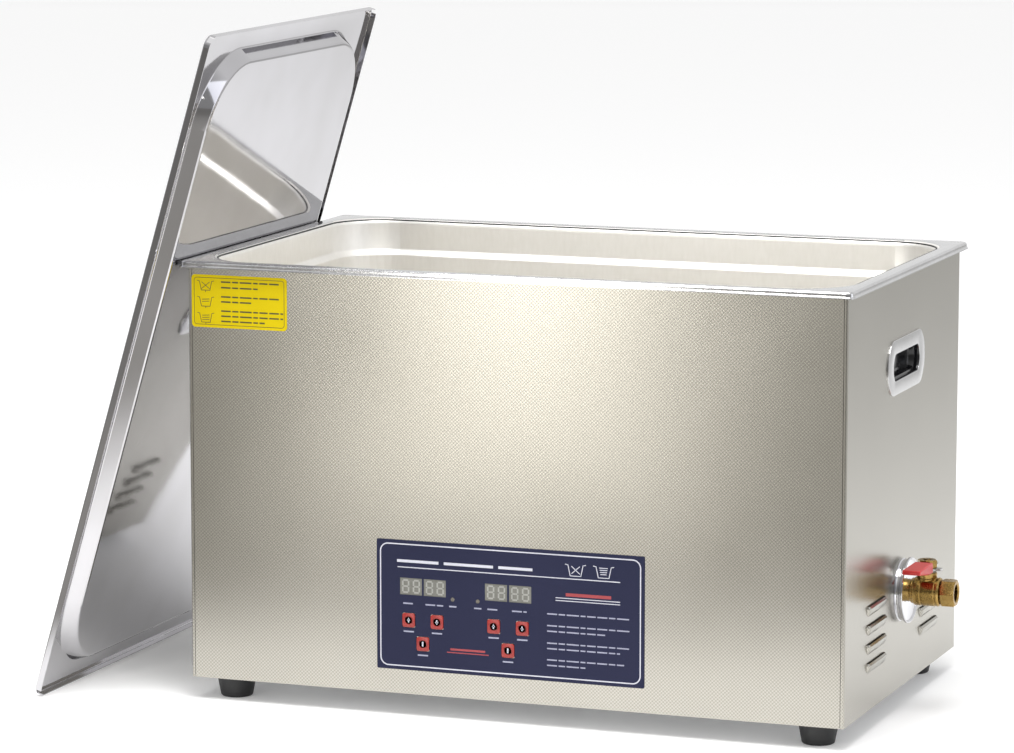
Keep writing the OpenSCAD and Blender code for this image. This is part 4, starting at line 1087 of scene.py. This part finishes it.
def make_lid_handle():
    """A round bar bent twice, on two turned feet."""
    bm = bmesh.new()
    foot_z = -LID_DRAW
    for side in (-1, 1):
        ring = round_loop(bm, GRIP_R, foot_z, (0, side * GRIP_HALF), 20)
        risen = bmesh.ops.extrude_edge_only(bm, edges=ring)["geom"]
        verts = [part for part in risen if isinstance(part, bmesh.types.BMVert)]
        bmesh.ops.translate(bm, vec=(0, 0, GRIP_Z - GRIP_BEND - foot_z), verts=verts)
        edges = [part for part in risen if isinstance(part, bmesh.types.BMEdge)]
        spun = bmesh.ops.spin(bm, geom=verts + edges, axis=(1, 0, 0), angle=side * math.pi / 2, steps=8,
                              cent=(0, side * (GRIP_HALF - GRIP_BEND), GRIP_Z - GRIP_BEND))["geom_last"]
        edges = [part for part in spun if isinstance(part, bmesh.types.BMEdge)]
        grown_part = bmesh.ops.extrude_edge_only(bm, edges=edges)["geom"]
        verts = [part for part in grown_part if isinstance(part, bmesh.types.BMVert)]
        bmesh.ops.translate(bm, vec=(0, -side * (GRIP_HALF - GRIP_BEND), 0), verts=verts)
        profile = [(0, foot_z), (11, foot_z), (11, foot_z + 1.2), (10.2, foot_z + 2), (0, foot_z + 2)]
        known = set(bm.verts)
        turned(bm, profile, 36)
        verts = [vert for vert in bm.verts if vert not in known]
        bmesh.ops.translate(bm, vec=(0, side * GRIP_HALF, 0), verts=verts)
    piece("lid_bow_handle", bm, ["polished_steel"], ["lid_handle"], LID, "lid", sharp=40)


make_lid_handle()


# ---- Floor and light ----

FLOOR_HALF = 25
FLOOR_NEAR = "#F6F6F6"
# Colour of the painted shade far in front of the object and off to its right
FLOOR_PAINTED_SHADE = "#84827E"
# Strength of the painted glow of the pale part of the floor
FLOOR_PAINTED_GLOW = 0.16
FLOOR_SLANT = 0.2


def make_floor():
    """A pale paper floor, with painted shade towards the front and the right and a painted glow where it
    stays pale; places on it are in metres.
    """
    bm = bmesh.new()
    bmesh.ops.create_grid(bm, x_segments=1, y_segments=1, size=FLOOR_HALF)
    mesh = bpy.data.meshes.new("floor")
    bm.to_mesh(mesh)
    bm.free()
    floor = bpy.data.objects.new("floor", mesh)
    bpy.context.collection.objects.link(floor)
    # White paper with painted shade that darkens it towards the front and the right, standing in for the dim
    # front of the studio, and a painted glow where it stays pale
    made, tree, surface, place = start_material("floor_paper_painted_shade_and_glow", Roughness=0.9,
                                                Emission_Color=linear("#FFFFFF"))
    part = add(tree, "ShaderNodeSeparateXYZ", {"Vector": place})
    # Painted shade: the floor darkens towards the front past a slanted line, and towards the right
    slant = add(tree, "ShaderNodeMath", {0: part.outputs["X"], 1: FLOOR_SLANT, 2: part.outputs["Y"]},
                operation="MULTIPLY_ADD")
    near = add(tree, "ShaderNodeMapRange",
               {"Value": slant.outputs[0], "From Min": -0.60, "From Max": -0.35},
               interpolation_type="SMOOTHSTEP")
    left = add(tree, "ShaderNodeMapRange", {"Value": part.outputs["X"], "From Min": 1.1, "From Max": 0.1,
                                             "To Min": 0.5, "To Max": 1.0}, interpolation_type="SMOOTHSTEP")
    painted_light_mask = add(tree, "ShaderNodeMath", {0: near.outputs["Result"], 1: left.outputs["Result"]},
              operation="MULTIPLY")
    colour = add(tree, "ShaderNodeMix",
                 {"Factor": painted_light_mask.outputs[0], "A": linear(FLOOR_PAINTED_SHADE), "B": linear(FLOOR_NEAR)},
                 data_type="RGBA")
    # Painted glow: the pale part of the floor gives off light of its own
    glow = add(tree, "ShaderNodeMath", {0: painted_light_mask.outputs[0], 1: FLOOR_PAINTED_GLOW}, operation="MULTIPLY")
    tree.links.new(glow.outputs[0], surface.inputs["Emission Strength"])
    tree.links.new(colour.outputs["Result"], surface.inputs["Base Color"])
    mesh.materials.append(made)


make_floor()


def softbox(name, place, aim, width, height, watts, colour):
    """Adds a rectangular light that faces a point; places and sizes are in metres."""
    lamp = bpy.data.lights.new(name, "AREA")
    lamp.shape = "RECTANGLE"
    lamp.size = width
    lamp.size_y = height
    lamp.energy = watts
    lamp.color = linear(colour)[:3]
    made = bpy.data.objects.new(name, lamp)
    bpy.context.collection.objects.link(made)
    made.location = place
    made.rotation_euler = (Vector(place) - Vector(aim)).to_track_quat("Z", "Y").to_euler()
    made.visible_camera = False


# Each softbox: place, aim, width, height, watts and colour
WARM = "#FFFDF8"
SOFTBOXES = {
    "front_softbox": ((-0.50, -1.65, 0.5), (0.05, 0, 0.5), 0.2, 0.96, 4.4, WARM),
    "low_softbox": ((-0.22, -0.85, 0.07), (0.04, -0.14, 0.1), 0.35, 0.12, 0.18, WARM),
    "floor_softbox": ((0.06, -0.42, 0.55), (0.06, -0.42, 0), 0.30, 0.12, 1.0, WARM),
    "top_softbox": ((0.1, -0.6, 2.3), (0, 0, 0), 1.6, 1.2, 50, "#FFFFFF"),
    "right_softbox": ((2.4, -0.4, 0.9), (0.3, 0, 0.2), 1.2, 1.6, 7, "#F2F5FF"),
}
for name, settings in SOFTBOXES.items():
    softbox(name, *settings)

DIM_SIDE = 0.34
BRIGHT_SIDE = 0.9
world = bpy.data.worlds.new("studio")
world.use_nodes = True
bpy.context.scene.world = world
sky = world.node_tree
sky.nodes.clear()
facing = add(sky, "ShaderNodeTexCoord").outputs["Generated"]
split = add(sky, "ShaderNodeSeparateXYZ", {"Vector": facing})
# White behind the object and overhead, dim on the camera's side near the horizon
behind = add(sky, "ShaderNodeMapRange", {"Value": split.outputs["Y"], "From Min": -0.35, "From Max": 0.15})
above = add(sky, "ShaderNodeMapRange", {"Value": split.outputs["Z"], "From Min": 0.3, "From Max": 0.7})
open_sky = add(sky, "ShaderNodeMath", {0: behind.outputs["Result"], 1: above.outputs["Result"]},
               operation="MAXIMUM")
glow = add(sky, "ShaderNodeMapRange",
           {"Value": open_sky.outputs[0], "To Min": DIM_SIDE, "To Max": BRIGHT_SIDE})
add(sky, "ShaderNodeOutputWorld", {"Surface": add(sky, "ShaderNodeBackground", {
    "Color": linear("#FFFFFF"), "Strength": glow.outputs["Result"]}).outputs["Background"]})

bpy.context.scene.view_settings.view_transform = "Standard"
